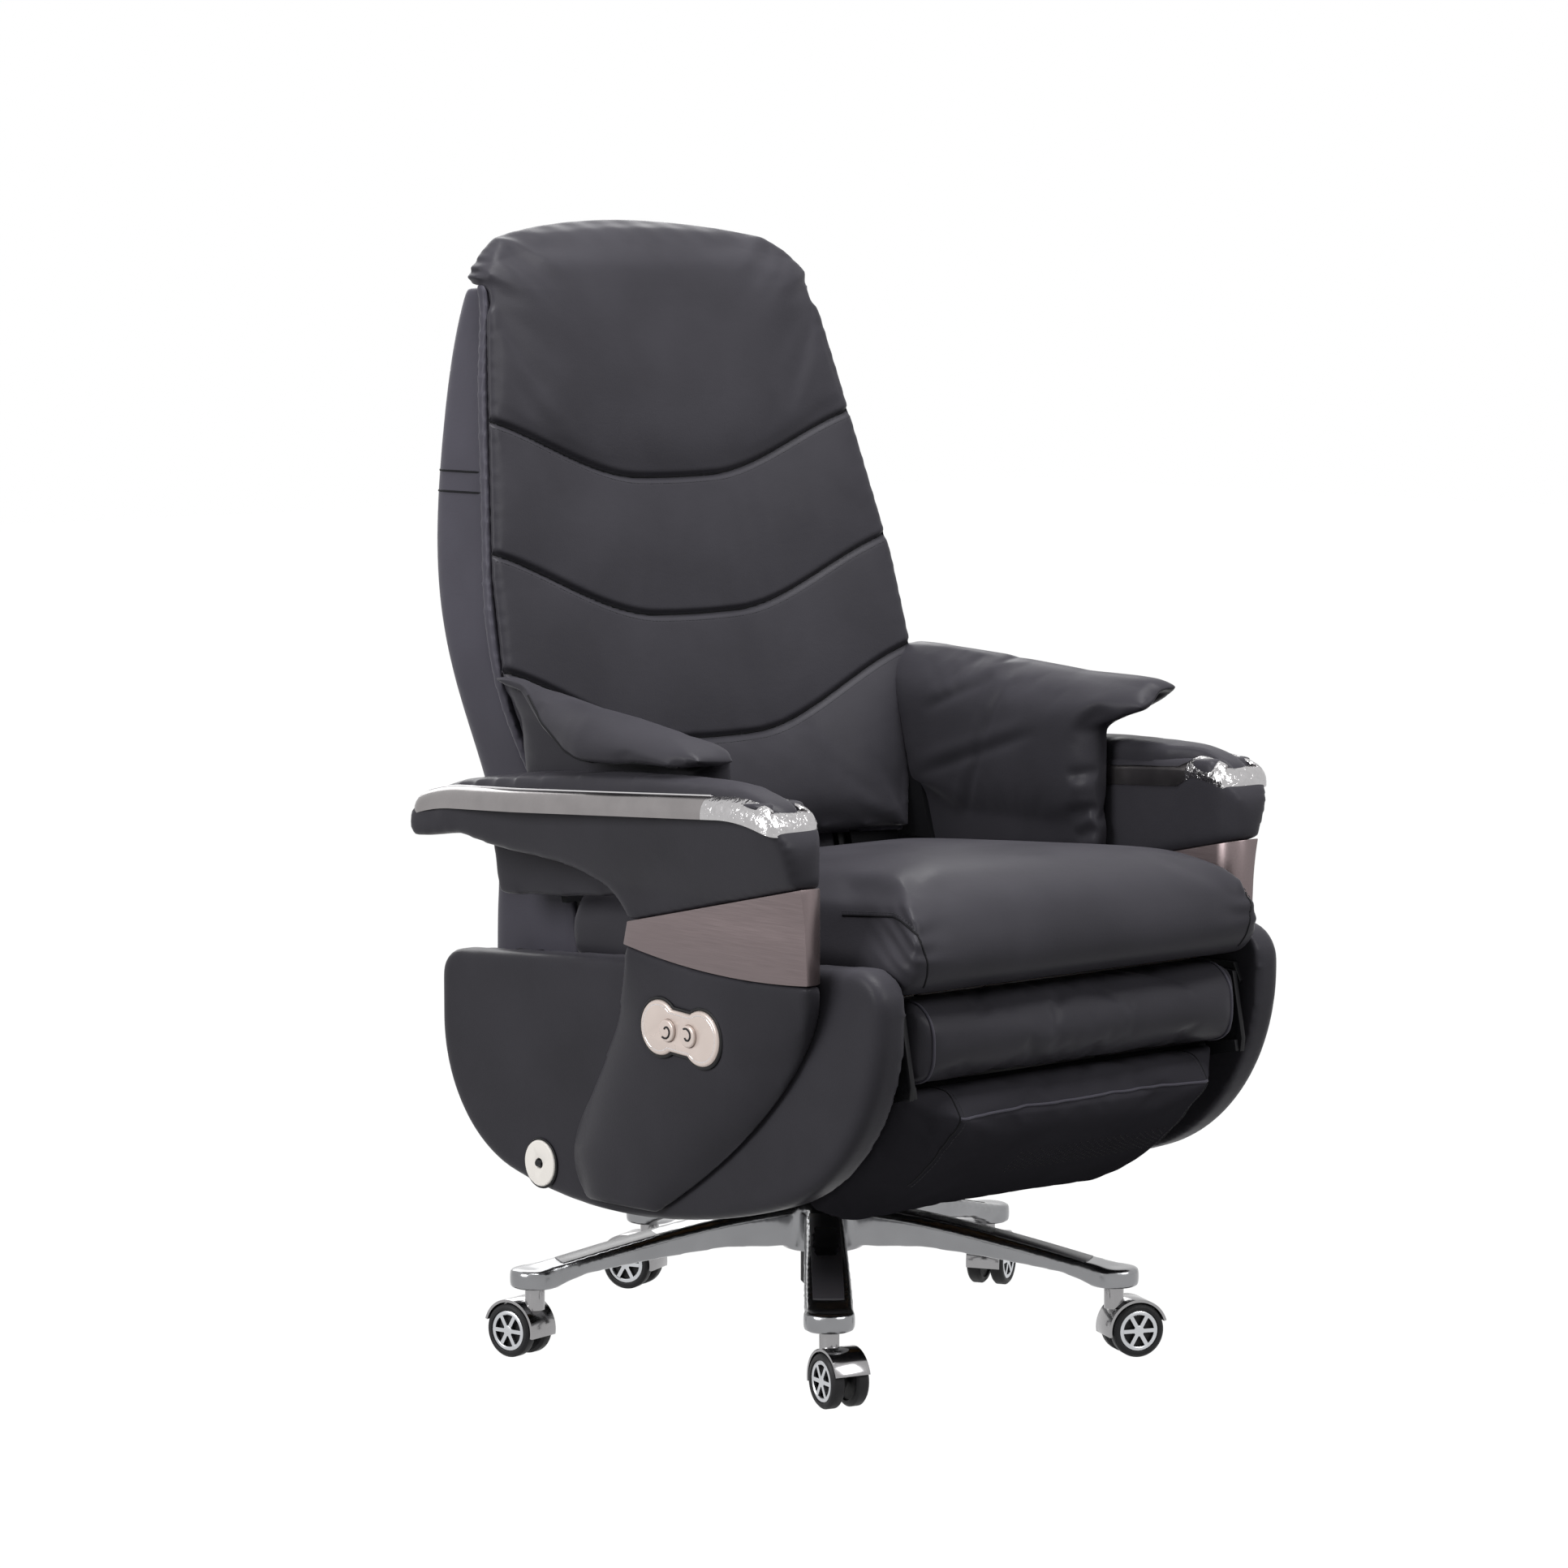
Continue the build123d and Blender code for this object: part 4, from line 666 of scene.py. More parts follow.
class Sewing:
    """Rows of stitches and fields of perforations, both set by Geometry Nodes."""

    def __init__(self) -> None:
        """Builds both trees."""
        self.rows = Repeater("stitch_row", (("Pitch", "NodeSocketFloat"), ("Length", "NodeSocketFloat"),
                                            ("Thickness", "NodeSocketFloat"), ("Seed", "NodeSocketInt"),
                                            ("Material", "NodeSocketMaterial")))
        curve = self.rows.add("GeometryNodeMeshToCurve")
        spaced = self.rows.add("GeometryNodeResampleCurve")
        spaced.mode = "LENGTH"
        tangent = self.rows.add("GeometryNodeInputTangent")
        turned = self.rows.add("FunctionNodeAlignRotationToVector")
        turned.axis = "Z"
        stitch = self.rows.add("GeometryNodeMeshCylinder", Vertices=6)
        uneven = self.rows.add("FunctionNodeRandomValue")
        uneven.data_type = "FLOAT"
        uneven.inputs[2].default_value = 0.9
        uneven.inputs[3].default_value = 1.1
        spread = self.rows.add("GeometryNodeInstanceOnPoints")
        entry = self.rows.entry
        self.rows.link(entry, "Geometry", curve, "Mesh")
        self.rows.link(curve, "Curve", spaced, "Curve")
        self.rows.link(entry, "Pitch", spaced, "Length")
        self.rows.link(entry, "Length", stitch, "Depth")
        self.rows.link(entry, "Thickness", stitch, "Radius")
        self.rows.link(entry, "Seed", uneven, "Seed")
        self.rows.link(tangent, "Tangent", turned, "Vector")
        self.rows.link(spaced, "Curve", spread, "Points")
        self.rows.link(stitch, "Mesh", spread, "Instance")
        self.rows.link(turned, "Rotation", spread, "Rotation")
        self.rows.tree.links.new(uneven.outputs[1], spread.inputs["Scale"])
        self.rows.close(spread, "Instances")
        self.holes = Repeater("perforations", (("Radius", "NodeSocketFloat"),
                                               ("Material", "NodeSocketMaterial")))
        dot = self.holes.add("GeometryNodeMeshIcoSphere", Subdivisions=1)
        dots = self.holes.add("GeometryNodeInstanceOnPoints")
        self.holes.link(self.holes.entry, "Radius", dot, "Radius")
        self.holes.link(self.holes.entry, "Geometry", dots, "Points")
        self.holes.link(dot, "Mesh", dots, "Instance")
        self.holes.close(dots, "Instances")

    def stitch(self, name: str, path: Sequence[Vector], body: str, pitch: float = 5 * MM) -> None:
        """Sews a row of stitches along a path.

        Args:
            name: The row's name.
            path: Points on the leather.
            body: The body that the row rides on.
            pitch: The distance from stitch to stitch.
        """
        if len(path) < 3:
            return
        mesh = bpy.data.meshes.new(name)
        mesh.from_pydata([tuple(point) for point in path], [(k, k + 1) for k in range(len(path) - 1)], [])
        row = self.rows.run(new_piece(name, mesh), Pitch=pitch, Length=0.7 * pitch, Thickness=0.45 * MM,
                            Seed=11, Material=SHELF.take(THREAD))
        dress(row, THREAD, body)

    def perforate(self, name: str, points: Sequence[Vector], body: str, radius: float = 1.2 * MM) -> None:
        """Sets dark dots for perforations.

        Args:
            name: The field's name.
            points: The holes' places on the leather.
            body: The body that the field rides on.
            radius: A hole's radius.
        """
        if not points:
            return
        mesh = bpy.data.meshes.new(name)
        mesh.from_pydata([tuple(point) for point in points], [], [])
        dress(self.holes.run(new_piece(name, mesh), Radius=radius, Material=SHELF.take(SEAM_AND_SHADE_LEATHER)),
              SEAM_AND_SHADE_LEATHER, body)


SEWING = Sewing()


def spoke_tree() -> Repeater:
    """Builds the tree that sets spokes round a wheel's axis.

    Returns:
        The tree, whose inputs are the count, the middle radius, the size, the rise and the material.
    """
    tree = Repeater("wheel_spokes", (("Count", "NodeSocketInt"), ("Middle", "NodeSocketFloat"),
                                     ("Size", "NodeSocketVector"), ("Rise", "NodeSocketVector"),
                                     ("Material", "NodeSocketMaterial")))
    circle = tree.add("GeometryNodeMeshCircle")
    outward = tree.add("GeometryNodeInputPosition")
    turned = tree.add("FunctionNodeAlignRotationToVector")
    turned.axis = "X"
    turned.pivot_axis = "Z"
    block = tree.add("GeometryNodeMeshCube")
    spread = tree.add("GeometryNodeInstanceOnPoints")
    moved = tree.add("GeometryNodeTransform")
    whole = tree.add("GeometryNodeJoinGeometry")
    tree.link(tree.entry, "Count", circle, "Vertices")
    tree.link(tree.entry, "Middle", circle, "Radius")
    tree.link(tree.entry, "Size", block, "Size")
    tree.link(outward, "Position", turned, "Vector")
    tree.link(circle, "Mesh", spread, "Points")
    tree.link(block, "Mesh", spread, "Instance")
    tree.link(turned, "Rotation", spread, "Rotation")
    tree.link(spread, "Instances", moved, "Geometry")
    tree.link(tree.entry, "Rise", moved, "Translation")
    tree.link(tree.entry, "Geometry", whole, "Geometry")
    tree.link(moved, "Geometry", whole, "Geometry")
    tree.close(whole, "Geometry")
    return tree


SPOKES = spoke_tree()


@dataclass(frozen=True)
class Swelling:
    """How far and how hard a pad is swollen by its cloth simulation."""

    pressure: float = 4.0
    cap: float = 0.022
    slack: float = 0.015
    frames: int = 20

    def swell(self, piece: bpy.types.Object, held: np.ndarray) -> None:
        """Swells a piece with pressure and keeps each point within the cap.

        Args:
            piece: The remeshed piece.
            held: For each point, whether it is sewn or glued in place.
        """
        start = points_of(piece)
        group = piece.vertex_groups.new(name="held")
        group.add([int(k) for k in np.flatnonzero(held)], 1.0, "REPLACE")
        cloth = piece.modifiers.new("Cloth", "CLOTH")
        settings = cloth.settings
        settings.quality = 4
        settings.mass = 0.4
        settings.air_damping = 2.0
        settings.tension_stiffness = settings.compression_stiffness = 15.0
        settings.shear_stiffness = 6.0
        settings.bending_stiffness = 1.5
        settings.use_pressure = True
        settings.uniform_pressure_force = self.pressure
        settings.shrink_min = -self.slack
        settings.vertex_group_mass = group.name
        settings.effector_weights.gravity = 0.0
        cloth.collision_settings.use_collision = False
        cloth.collision_settings.use_self_collision = False
        cloth.point_cache.frame_start = 1
        cloth.point_cache.frame_end = self.frames
        scene = bpy.context.scene
        for step in range(1, self.frames + 1):
            scene.frame_set(step)
        settle(piece)
        scene.frame_set(1)
        move = points_of(piece) - start
        length = np.linalg.norm(move, axis=1, keepdims=True)
        keep = self.cap * np.tanh(length / self.cap) / np.maximum(length, 1e-9)
        place_points(piece, start + move * keep)
        piece.vertex_groups.clear()


@dataclass
class Pad:
    """A leather pad that is swollen from its CAD solid."""

    node: str
    body: str
    swelling: Swelling = Swelling()
    voxel: float = 5 * MM
    fill: float = 0.7
    soften: int = 6
    calm: int = 4
    finish: Finish = LEATHER

    def held(self, points: np.ndarray, normals: np.ndarray) -> np.ndarray:
        """Says which points are fixed to what carries the pad.

        Args:
            points: The remeshed pad's points.
            normals: Their normals.

        Returns:
            One flag a point.
        """
        raise NotImplementedError

    def draw_in(self, points: np.ndarray, normals: np.ndarray) -> np.ndarray:
        """Moves points before the pad is swollen, at its seams."""
        return points

    def sew(self, points: np.ndarray, normals: np.ndarray) -> np.ndarray:
        """Moves points after the pad is swollen and divided, at its seams and folds."""
        return points

    def build(self) -> bpy.types.Object:
        """Builds the pad.

        Returns:
            The dressed pad.
        """
        piece = merged_copy(self.node, self.node + "_cover")
        remesh(piece, self.voxel)
        relax(piece, self.soften)
        place_points(piece, self.draw_in(points_of(piece), normals_of(piece)))
        self.swelling.swell(piece, self.held(points_of(piece), normals_of(piece)))
        relax(piece, self.calm)
        divide(piece)
        place_points(piece, self.sew(points_of(piece), normals_of(piece)))
        shade(piece)
        dress(piece, self.finish, self.body, self.node)
        return piece


def near(distance: np.ndarray, width: float) -> np.ndarray:
    """A soft step that is 1 at no distance and fades out beyond a width."""
    return np.exp(-((distance / width) ** 2))


@dataclass
class SeatCushion(Pad):
    """The thick waterfall seat cushion between the side panels."""

    node: str = "seat_cushion"
    body: str = "seat"
    swelling: Swelling = Swelling(cap=0.012, slack=0.0)
    voxel: float = 6 * MM
    calm: int = 18
    room: float = 0.2636
    hidden_behind: float = 0.09
    flank_top: float = 0.50
    corner: Point = (0.254, -0.408, 0.528)
    pucker_reach: float = 34 * MM
    pucker_pitch: float = 16 * MM
    seam_starts: tuple[Point, ...] = (
        (0.40, -0.300, 0.534), (0.40, -0.376, 0.540), (0.36, -0.47, 0.537),
        (0.30, -0.56, 0.520), (0.27, -0.60, 0.495), (0.262, -0.60, 0.470))
    seam_aims: tuple[Point, ...] = (
        (0.0, -0.300, 0.534), (0.0, -0.376, 0.540), (0.10, -0.30, 0.537),
        (0.20, -0.30, 0.520), (0.22, -0.30, 0.495), (0.22, -0.30, 0.470))
    seam_count: int = 40

    def held(self, points: np.ndarray, normals: np.ndarray) -> np.ndarray:
        """Holds the underside, the hidden rear and the faces along the panels."""
        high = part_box(self.node)[1]
        under = normals[:, 2] < -0.7
        rear = points[:, 1] > self.hidden_behind
        flank = (np.abs(points[:, 0]) > high.x - 8 * MM) & (points[:, 2] < self.flank_top)
        return under | rear | flank

    def sew(self, points: np.ndarray, normals: np.ndarray) -> np.ndarray:
        """Keeps the cushion between the panels and puckers its front corners."""
        side = np.sign(points[:, 0])
        folded = np.stack([np.abs(points[:, 0]), points[:, 1], points[:, 2]], axis=1)
        pucker = near(np.linalg.norm(folded - np.array(self.corner), axis=1), self.pucker_reach)
        ripple = np.sin((points[:, 2] - 0.6 * points[:, 1]) * 2 * math.pi / self.pucker_pitch)
        points += normals * (1.4 * MM * pucker * ripple - 1.0 * MM * pucker)[:, None]
        points[:, 0] = side * np.minimum(np.abs(points[:, 0]), self.room)
        return points

    def build(self) -> bpy.types.Object:
        """Builds the cushion and the gusset seams at its front corners."""
        piece = super().build()
        skin = surface_of(piece)
        places = np.linspace(0, len(self.seam_starts) - 1, self.seam_count)
        spread = [[np.interp(places, np.arange(len(row)), np.array(row)[:, k]) for k in range(3)]
                  for row in (self.seam_starts, self.seam_aims)]
        for side in Side:
            starts, aims = ([(side.value * x, y, z) for x, y, z in zip(*row)] for row in spread)
            path = cast_path(skin, starts, aims, -0.3 * MM)
            if len(path) > 8:
                dress(tube(f"seat_gusset_{side.word}", path, 1.3 * MM), SEAM_AND_SHADE_LEATHER, self.body)
                beside = [p + Vector((0, 0, 4 * MM)) for p in path]
                SEWING.stitch(f"seat_gusset_{side.word}_thread", beside, self.body)
        return piece


@dataclass
class BackForm:
    """The leaning, waisted form that the back's layers share."""

    foot_y: float = 0.145
    foot_z: float = 0.536
    lean: float = 14.0
    bottom: float = 0.436
    top: float = 1.192
    halves: tuple[float, ...] = (0.250, 0.256, 0.284, 0.310, 0.303, 0.284, 0.265, 0.245)
    hug: float = 0.020

    def half(self, z: np.ndarray) -> np.ndarray:
        """Half width of the back at a height."""
        return np.interp(z, np.linspace(self.bottom, self.top, len(self.halves)), self.halves)

    def face(self, x: np.ndarray, z: np.ndarray) -> np.ndarray:
        """Depth of the unswollen face at a place."""
        straight = self.foot_y + math.tan(math.radians(self.lean)) * (z - self.foot_z)
        return straight - self.hug * (x / self.half(z)) ** 2


@dataclass
class BackCushion(Pad):
    """The front cushion with its head roll and three sewn U seams."""

    node: str = "back_cushion"
    body: str = "back"
    swelling: Swelling = Swelling(cap=0.014, slack=0.0)
    voxel: float = 6 * MM
    soften: int = 12
    calm: int = 8
    form: BackForm = field(default_factory=BackForm)
    seam_lows: tuple[float, ...] = (0.672, 0.812, 0.968)
    seam_rises: tuple[float, ...] = (0.090, 0.082, 0.072)
    seam_width: float = 3.6 * MM
    seam_depth: float = 6 * MM
    face_depth: float = 0.030
    rear_depth: float = 0.022
    edge_round: float = 16 * MM
    wall_top: float = 1.160
    edge_foot: float = 0.560
    edge_top: float = 1.168
    head_from: float = 1.185
    head_half: float = 0.235
    head_dome: float = 5 * MM
    head_fall: float = 26 * MM
    crown_from: float = 1.235
    crown_pitch: float = 42 * MM
    gather_z: float = 1.196
    gather_x: float = 0.215
    gather_pitch: float = 11.5 * MM
    tug_top: float = 1.170

    def seam_height(self, k: int, x: np.ndarray) -> np.ndarray:
        """Height of seam k at a place across the back: a U that levels out at the edges."""
        share = np.abs(x) / self.form.half(np.full_like(x, self.seam_lows[k] + 0.6 * self.seam_rises[k]))
        step = np.clip((share - 0.2) / 0.8, 0, 1)
        level = step * step * (3 - 2 * step)
        return self.seam_lows[k] + self.seam_rises[k] * (0.55 * level + 0.45 * share ** 2)

    def seam_distance(self, points: np.ndarray) -> np.ndarray:
        """Distance of each point from the nearest seam, seen from the front."""
        best = np.full(len(points), 1.0)
        x = points[:, 0]
        for k in range(len(self.seam_lows)):
            height = self.seam_height(k, x)
            slope = (self.seam_height(k, x + MM) - height) / MM
            best = np.minimum(best, np.abs(points[:, 2] - height) / np.sqrt(1 + slope ** 2))
        return best

    def depth(self, points: np.ndarray) -> np.ndarray:
        """Depth of each point behind the unswollen face."""
        return points[:, 1] - self.form.face(points[:, 0], points[:, 2])

    def held(self, points: np.ndarray, normals: np.ndarray) -> np.ndarray:
        """Holds the rear and the seams."""
        sewn = (self.seam_distance(points) < self.seam_width) & (self.depth(points) < self.face_depth)
        rear = (self.depth(points) > self.rear_depth) & (points[:, 2] < self.form.top)
        behind = normals[:, 1] > 0.5
        return sewn | rear | behind

    def draw_in(self, points: np.ndarray, normals: np.ndarray) -> np.ndarray:
        """Trues the long side walls, which the voxels leave stepped."""
        side = np.sign(points[:, 0])
        wall = np.clip((np.abs(normals[:, 0]) - 0.35) / 0.25, 0, 1) * (points[:, 2] < self.wall_top)
        bulge = ((self.depth(points) - 6 * MM) / (7 * MM)) ** 2
        edge = self.form.half(points[:, 2]) - 0.5 * MM - 3 * MM * np.minimum(bulge, 1.6)
        points[:, 0] += wall * (side * edge - points[:, 0])
        return points

    def true_edges(self, points: np.ndarray) -> None:
        """Gives the long edges one steady profile: the middle one of all heights.

        Args:
            points: The swollen cushion's points, which are moved in place.
        """
        x, z = points[:, 0], points[:, 2]
        side = np.sign(x)
        inward = self.edge_round - (self.form.half(z) - np.abs(x))
        forward = self.edge_round - self.depth(points)
        turn, reach = np.arctan2(forward, inward), np.hypot(inward, forward)
        share = np.clip(inward / (6 * MM), 0, 1) * np.clip((self.edge_top - z) / 0.02, 0, 1)
        marks = np.linspace(-1.1, math.pi / 2, 29)
        slots = np.digitize(turn, (marks[1:] + marks[:-1]) / 2)
        slots[(share <= 0.3) | (z <= self.edge_foot)] = -1
        kept = [k for k in range(len(marks)) if np.any(slots == k)]
        steady = [np.median(reach[slots == k]) for k in kept]
        scale = 1 + share * (np.interp(turn, marks[kept], steady) / np.maximum(reach, MM) - 1)
        points[:, 0] = side * (self.form.half(z) - self.edge_round + inward * scale)
        points[:, 1] = self.form.face(points[:, 0], z) + self.edge_round - forward * scale

    def sew(self, points: np.ndarray, normals: np.ndarray) -> np.ndarray:
        """Draws the seams in as narrow grooves, domes the head and gathers its corners."""
        self.true_edges(points)
        front = np.clip(-normals[:, 1] * 2, 0, 1)
        groove = near(self.seam_distance(points), self.seam_width) * front
        points[:, 1] += self.seam_depth * groove
        x, z = points[:, 0], points[:, 2]
        head = np.clip((z - self.head_from) / 0.05, 0, 1)
        points[:, 2] += head * (self.head_dome - self.head_fall * (x / self.head_half) ** 2)
        crown = np.clip((z - self.crown_from) / 0.02, 0, 1)
        points[:, 1] += 1.0 * MM * crown * np.sin((x + 0.4 * points[:, 1]) * 2 * math.pi / self.crown_pitch)
        gather = near(z - self.gather_z, 0.030) * np.clip((np.abs(x) - self.gather_x) / 0.02, 0, 1)
        gather *= np.clip((self.depth(points) - 0.010) / 0.010, 0, 1)
        fold = 2.0 * MM * np.sin(z * 2 * math.pi / self.gather_pitch) + 3 * MM
        points[:, 0] += np.sign(x) * gather * fold
        edge = np.clip((np.abs(x) - self.form.half(z) + 0.014) / 0.012, 0, 1) * (z < self.tug_top)
        tug = np.sin(z * 2 * math.pi / 0.021) + 0.6 * np.sin(z * 2 * math.pi / 0.0137 + 1.3)
        points[:, 1] += 0.35 * MM * edge * tug
        return points

    def build(self) -> bpy.types.Object:
        """Builds the cushion and the dark piping in its seams."""
        piece = super().build()
        skin = surface_of(piece)
        for k in range(len(self.seam_lows)):
            path = self.seam_path(skin, k)
            if len(path) > 4:
                dress(tube(f"back_seam_{k + 1}", path, 1.6 * MM), SEAM_AND_SHADE_LEATHER, self.body)
            SEWING.stitch(f"back_thread_{k + 1}", self.seam_path(skin, k, -7 * MM, 0.1 * MM), self.body)
        return piece

    def seam_path(self, skin: BVHTree, k: int, beside: float = 0.0, sunk: float = 0.6 * MM) -> list[Vector]:
        """Follows seam k along the swollen cushion's face.

        Args:
            skin: The cushion's surface.
            k: The seam's number.
            beside: The height over the seam.
            sunk: The depth under the surface.

        Returns:
            Points just under the surface.
        """
        reach = self.form.half(np.array([self.seam_lows[k] + self.seam_rises[k]]))[0]
        path = []
        for x in np.linspace(-reach, reach, 121):
            z = self.seam_height(k, np.array([x]))[0] + beside
            hit = skin.ray_cast(Vector((x, -1.0, z)), Vector((0, 1, 0)))[0]
            if hit:
                path.append(hit + Vector((0, sunk, 0)))
        return path


@dataclass
class WingPad(Pad):
    """A padded wing that folds out from the back over an armrest."""

    side: Side = Side.LEFT
    node: str = ""
    body: str = "back"
    swelling: Swelling = Swelling(cap=0.013, slack=0.012)
    soften: int = 22
    fold_x: float = 0.300
    crest_places: tuple[float, ...] = (-0.191, -0.144, -0.086, 0.005, 0.078, 0.154)
    pressed_crest: tuple[float, ...] = (0.684, 0.700, 0.717, 0.724, 0.738, 0.761)
    standing_crest: tuple[float, ...] = (0.745, 0.752, 0.757, 0.761, 0.764, 0.766)
    leaf_places: tuple[float, ...] = (-0.191, -0.112, -0.028, 0.024, 0.082, 0.154)
    leaf_drops: tuple[float, ...] = (0.006, 0.035, 0.050, 0.045, 0.030, 0.004)
    rest_height: float = 0.676
    rest_slope: float = 0.06
    tip_from: float = -0.100
    tip_run: float = 0.090
    tip_low: float = 0.690
    tip_rise: float = 0.030
    tip_reach: float = 34 * MM
    tip_lift: float = 6 * MM
    root_gap: float = 20.6 * MM
    root_run: float = 45 * MM
    root_push: float = 18 * MM
    foot_top: float = 0.560
    foot_drop: float = 12 * MM
    welt_ends: tuple[float, float] = (0.120, -0.150)
    # Each fold has its start and end, both as y and z, and its depth in millimetres.
    folds: tuple[tuple[float, float, float, float, float], ...] = (
        (0.135, 0.612, -0.080, 0.680, 2.6),
        (0.055, 0.570, 0.020, 0.650, 2.2),
        (0.020, 0.650, -0.015, 0.735, 1.6),
        (0.120, 0.690, 0.010, 0.735, 2.0),
        (-0.165, 0.640, -0.120, 0.632, 3.0),
        (-0.165, 0.600, -0.115, 0.588, 3.2),
        (-0.160, 0.575, -0.125, 0.560, 2.4),
    )

    def __post_init__(self) -> None:
        """Names the wing's CAD node for its side."""
        self.node = "wing_pad_" + self.side.word

    def held(self, points: np.ndarray, normals: np.ndarray) -> np.ndarray:
        """Holds the wing's root at the back and its hidden foot."""
        low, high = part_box(self.node)
        root = points[:, 1] > high.y - 20 * MM
        foot = points[:, 2] < low.z + 60 * MM
        return root | foot

    def crest(self, y: np.ndarray) -> np.ndarray:
        """Height of the wing's crest along its length."""
        heights = self.standing_crest if self.side is Side.LEFT else self.pressed_crest
        return np.interp(y, self.crest_places, heights)

    def draw_in(self, points: np.ndarray, normals: np.ndarray) -> np.ndarray:
        """Narrows the flap to a leaf that runs out at the back and at the tip."""
        out, y, z = points[:, 0] * self.side.value, points[:, 1], points[:, 2]
        crest = self.crest(y)
        flap = np.clip((out - self.fold_x) / (14 * MM), 0, 1)
        room = np.maximum(crest - (self.rest_height - self.rest_slope * y), 8 * MM)
        keep = np.clip(np.interp(y, self.leaf_places, self.leaf_drops) / room, 0.12, 1.0)
        if self.side is Side.LEFT:
            keep = np.maximum(keep, 0.75 * (y < 0.02))
        drop = np.maximum(crest - z, -10 * MM)
        z += flap * (crest - drop * keep - z)
        out -= flap * (out - self.fold_x) * 0.55 * (1 - keep)
        if self.side is Side.LEFT:
            tip = np.clip((self.tip_from - y) / self.tip_run, 0, 1)
            tip *= np.clip((z - self.tip_low) / self.tip_rise, 0, 1)
            y -= self.tip_reach * tip
            z += self.tip_lift * tip * flap
        root = BackForm().face(np.zeros_like(z), z) - self.root_gap
        y += self.root_push * np.clip((y - root + self.root_run) / self.root_run, 0, 1) ** 2
        z -= self.foot_drop * np.clip((self.foot_top - z) / 0.03, 0, 1)
        return np.stack([out * self.side.value, y, z], axis=1)

    def sew(self, points: np.ndarray, normals: np.ndarray) -> np.ndarray:
        """Presses diagonal folds and front puckers into the inner face."""
        out, y, z = points[:, 0] * self.side.value, points[:, 1], points[:, 2]
        inner = np.clip(-normals[:, 0] * self.side.value * 2, 0, 1)
        shift = np.zeros(len(points))
        for y0, z0, y1, z1, depth in self.folds:
            run = np.array([y1 - y0, z1 - z0])
            length = np.hypot(*run)
            along = ((y - y0) * run[0] + (z - z0) * run[1]) / length ** 2
            across = ((y - y0) * run[1] - (z - z0) * run[0]) / length
            fade = np.clip(along * 4, 0, 1) * np.clip((1 - along) * 4, 0, 1)
            shift += depth * MM * fade * (near(across, 7 * MM) - 0.55 * near(across - 15 * MM, 9 * MM))
        out += inner * shift
        return np.stack([out * self.side.value, y, z], axis=1)

    def build(self) -> bpy.types.Object:
        """Builds the wing and the welt along its flap's edge."""
        piece = super().build()
        skin = surface_of(piece)
        path = []
        for y in np.linspace(*self.welt_ends, 46):
            edge = self.crest(np.array([y]))[0] - np.interp(y, self.leaf_places, self.leaf_drops) + 9 * MM
            hit = skin.ray_cast(Vector((0.5 * self.side.value, y, edge)), Vector((-self.side.value, 0, 0)))[0]
            if hit:
                path.append(hit + Vector((0.2 * MM * self.side.value, 0, 0)))
        if len(path) > 8:
            dress(tube(f"{self.node}_welt", path, 1.3 * MM), SEAM_AND_SHADE_LEATHER, self.body)
        return piece


@dataclass(frozen=True)
class ArmForm:
    """The armrest's outline from above and its sloping, falling top."""

    corners: tuple[tuple[float, float], ...] = (
        (0.314, 0.303), (0.302, 0.243), (0.302, -0.336), (0.377, -0.336), (0.377, 0.090), (0.353, 0.303))
    soften: float = 15 * MM
    count: int = 360
    seat: float = 0.631
    slope: float = 0.06
    nose_from: float = -0.250
    nose_run: float = 0.085
    nose_fall: float = 17 * MM
    tail_from: float = 0.215
    tail_run: float = 0.090
    tail_fall: float = 11 * MM

    def tail(self, y: np.ndarray) -> np.ndarray:
        """How far the top has fallen towards the tail."""
        return self.tail_fall * np.clip((y - self.tail_from) / self.tail_run, 0, 1) ** 2

    def top(self, y: np.ndarray) -> np.ndarray:
        """Height of the shell's top, which falls at the nose and at the tail."""
        nose = np.clip((self.nose_from - y) / self.nose_run, 0, 1) ** 2
        return self.seat - self.slope * y - self.nose_fall * nose - self.tail(y)

    def outline(self) -> tuple[np.ndarray, np.ndarray]:
        """Samples the outline evenly with its corners rounded.

        Returns:
            Points and outward normals of the left armrest, from the tail round the inside.
        """
        corners = np.array(self.corners + self.corners[:1])
        lengths = np.concatenate([[0], np.cumsum(np.linalg.norm(np.diff(corners, axis=0), axis=1))])
        places = np.linspace(0, lengths[-1], self.count, endpoint=False)
        points = np.stack([np.interp(places, lengths, corners[:, k]) for k in (0, 1)], axis=1)
        step = lengths[-1] / self.count
        reach = int(3 * self.soften / step)
        weights = near(np.arange(-reach, reach + 1) * step, self.soften)
        weights /= weights.sum()
        wrapped = np.concatenate([points[-reach:], points, points[:reach]])
        points = np.stack([np.convolve(wrapped[:, k], weights, "valid") for k in (0, 1)], axis=1)
        run = np.roll(points, -1, axis=0) - np.roll(points, 1, axis=0)
        run /= np.linalg.norm(run, axis=1, keepdims=True)
        return points, np.stack([run[:, 1], -run[:, 0]], axis=1)


ARM_FORM = ArmForm()


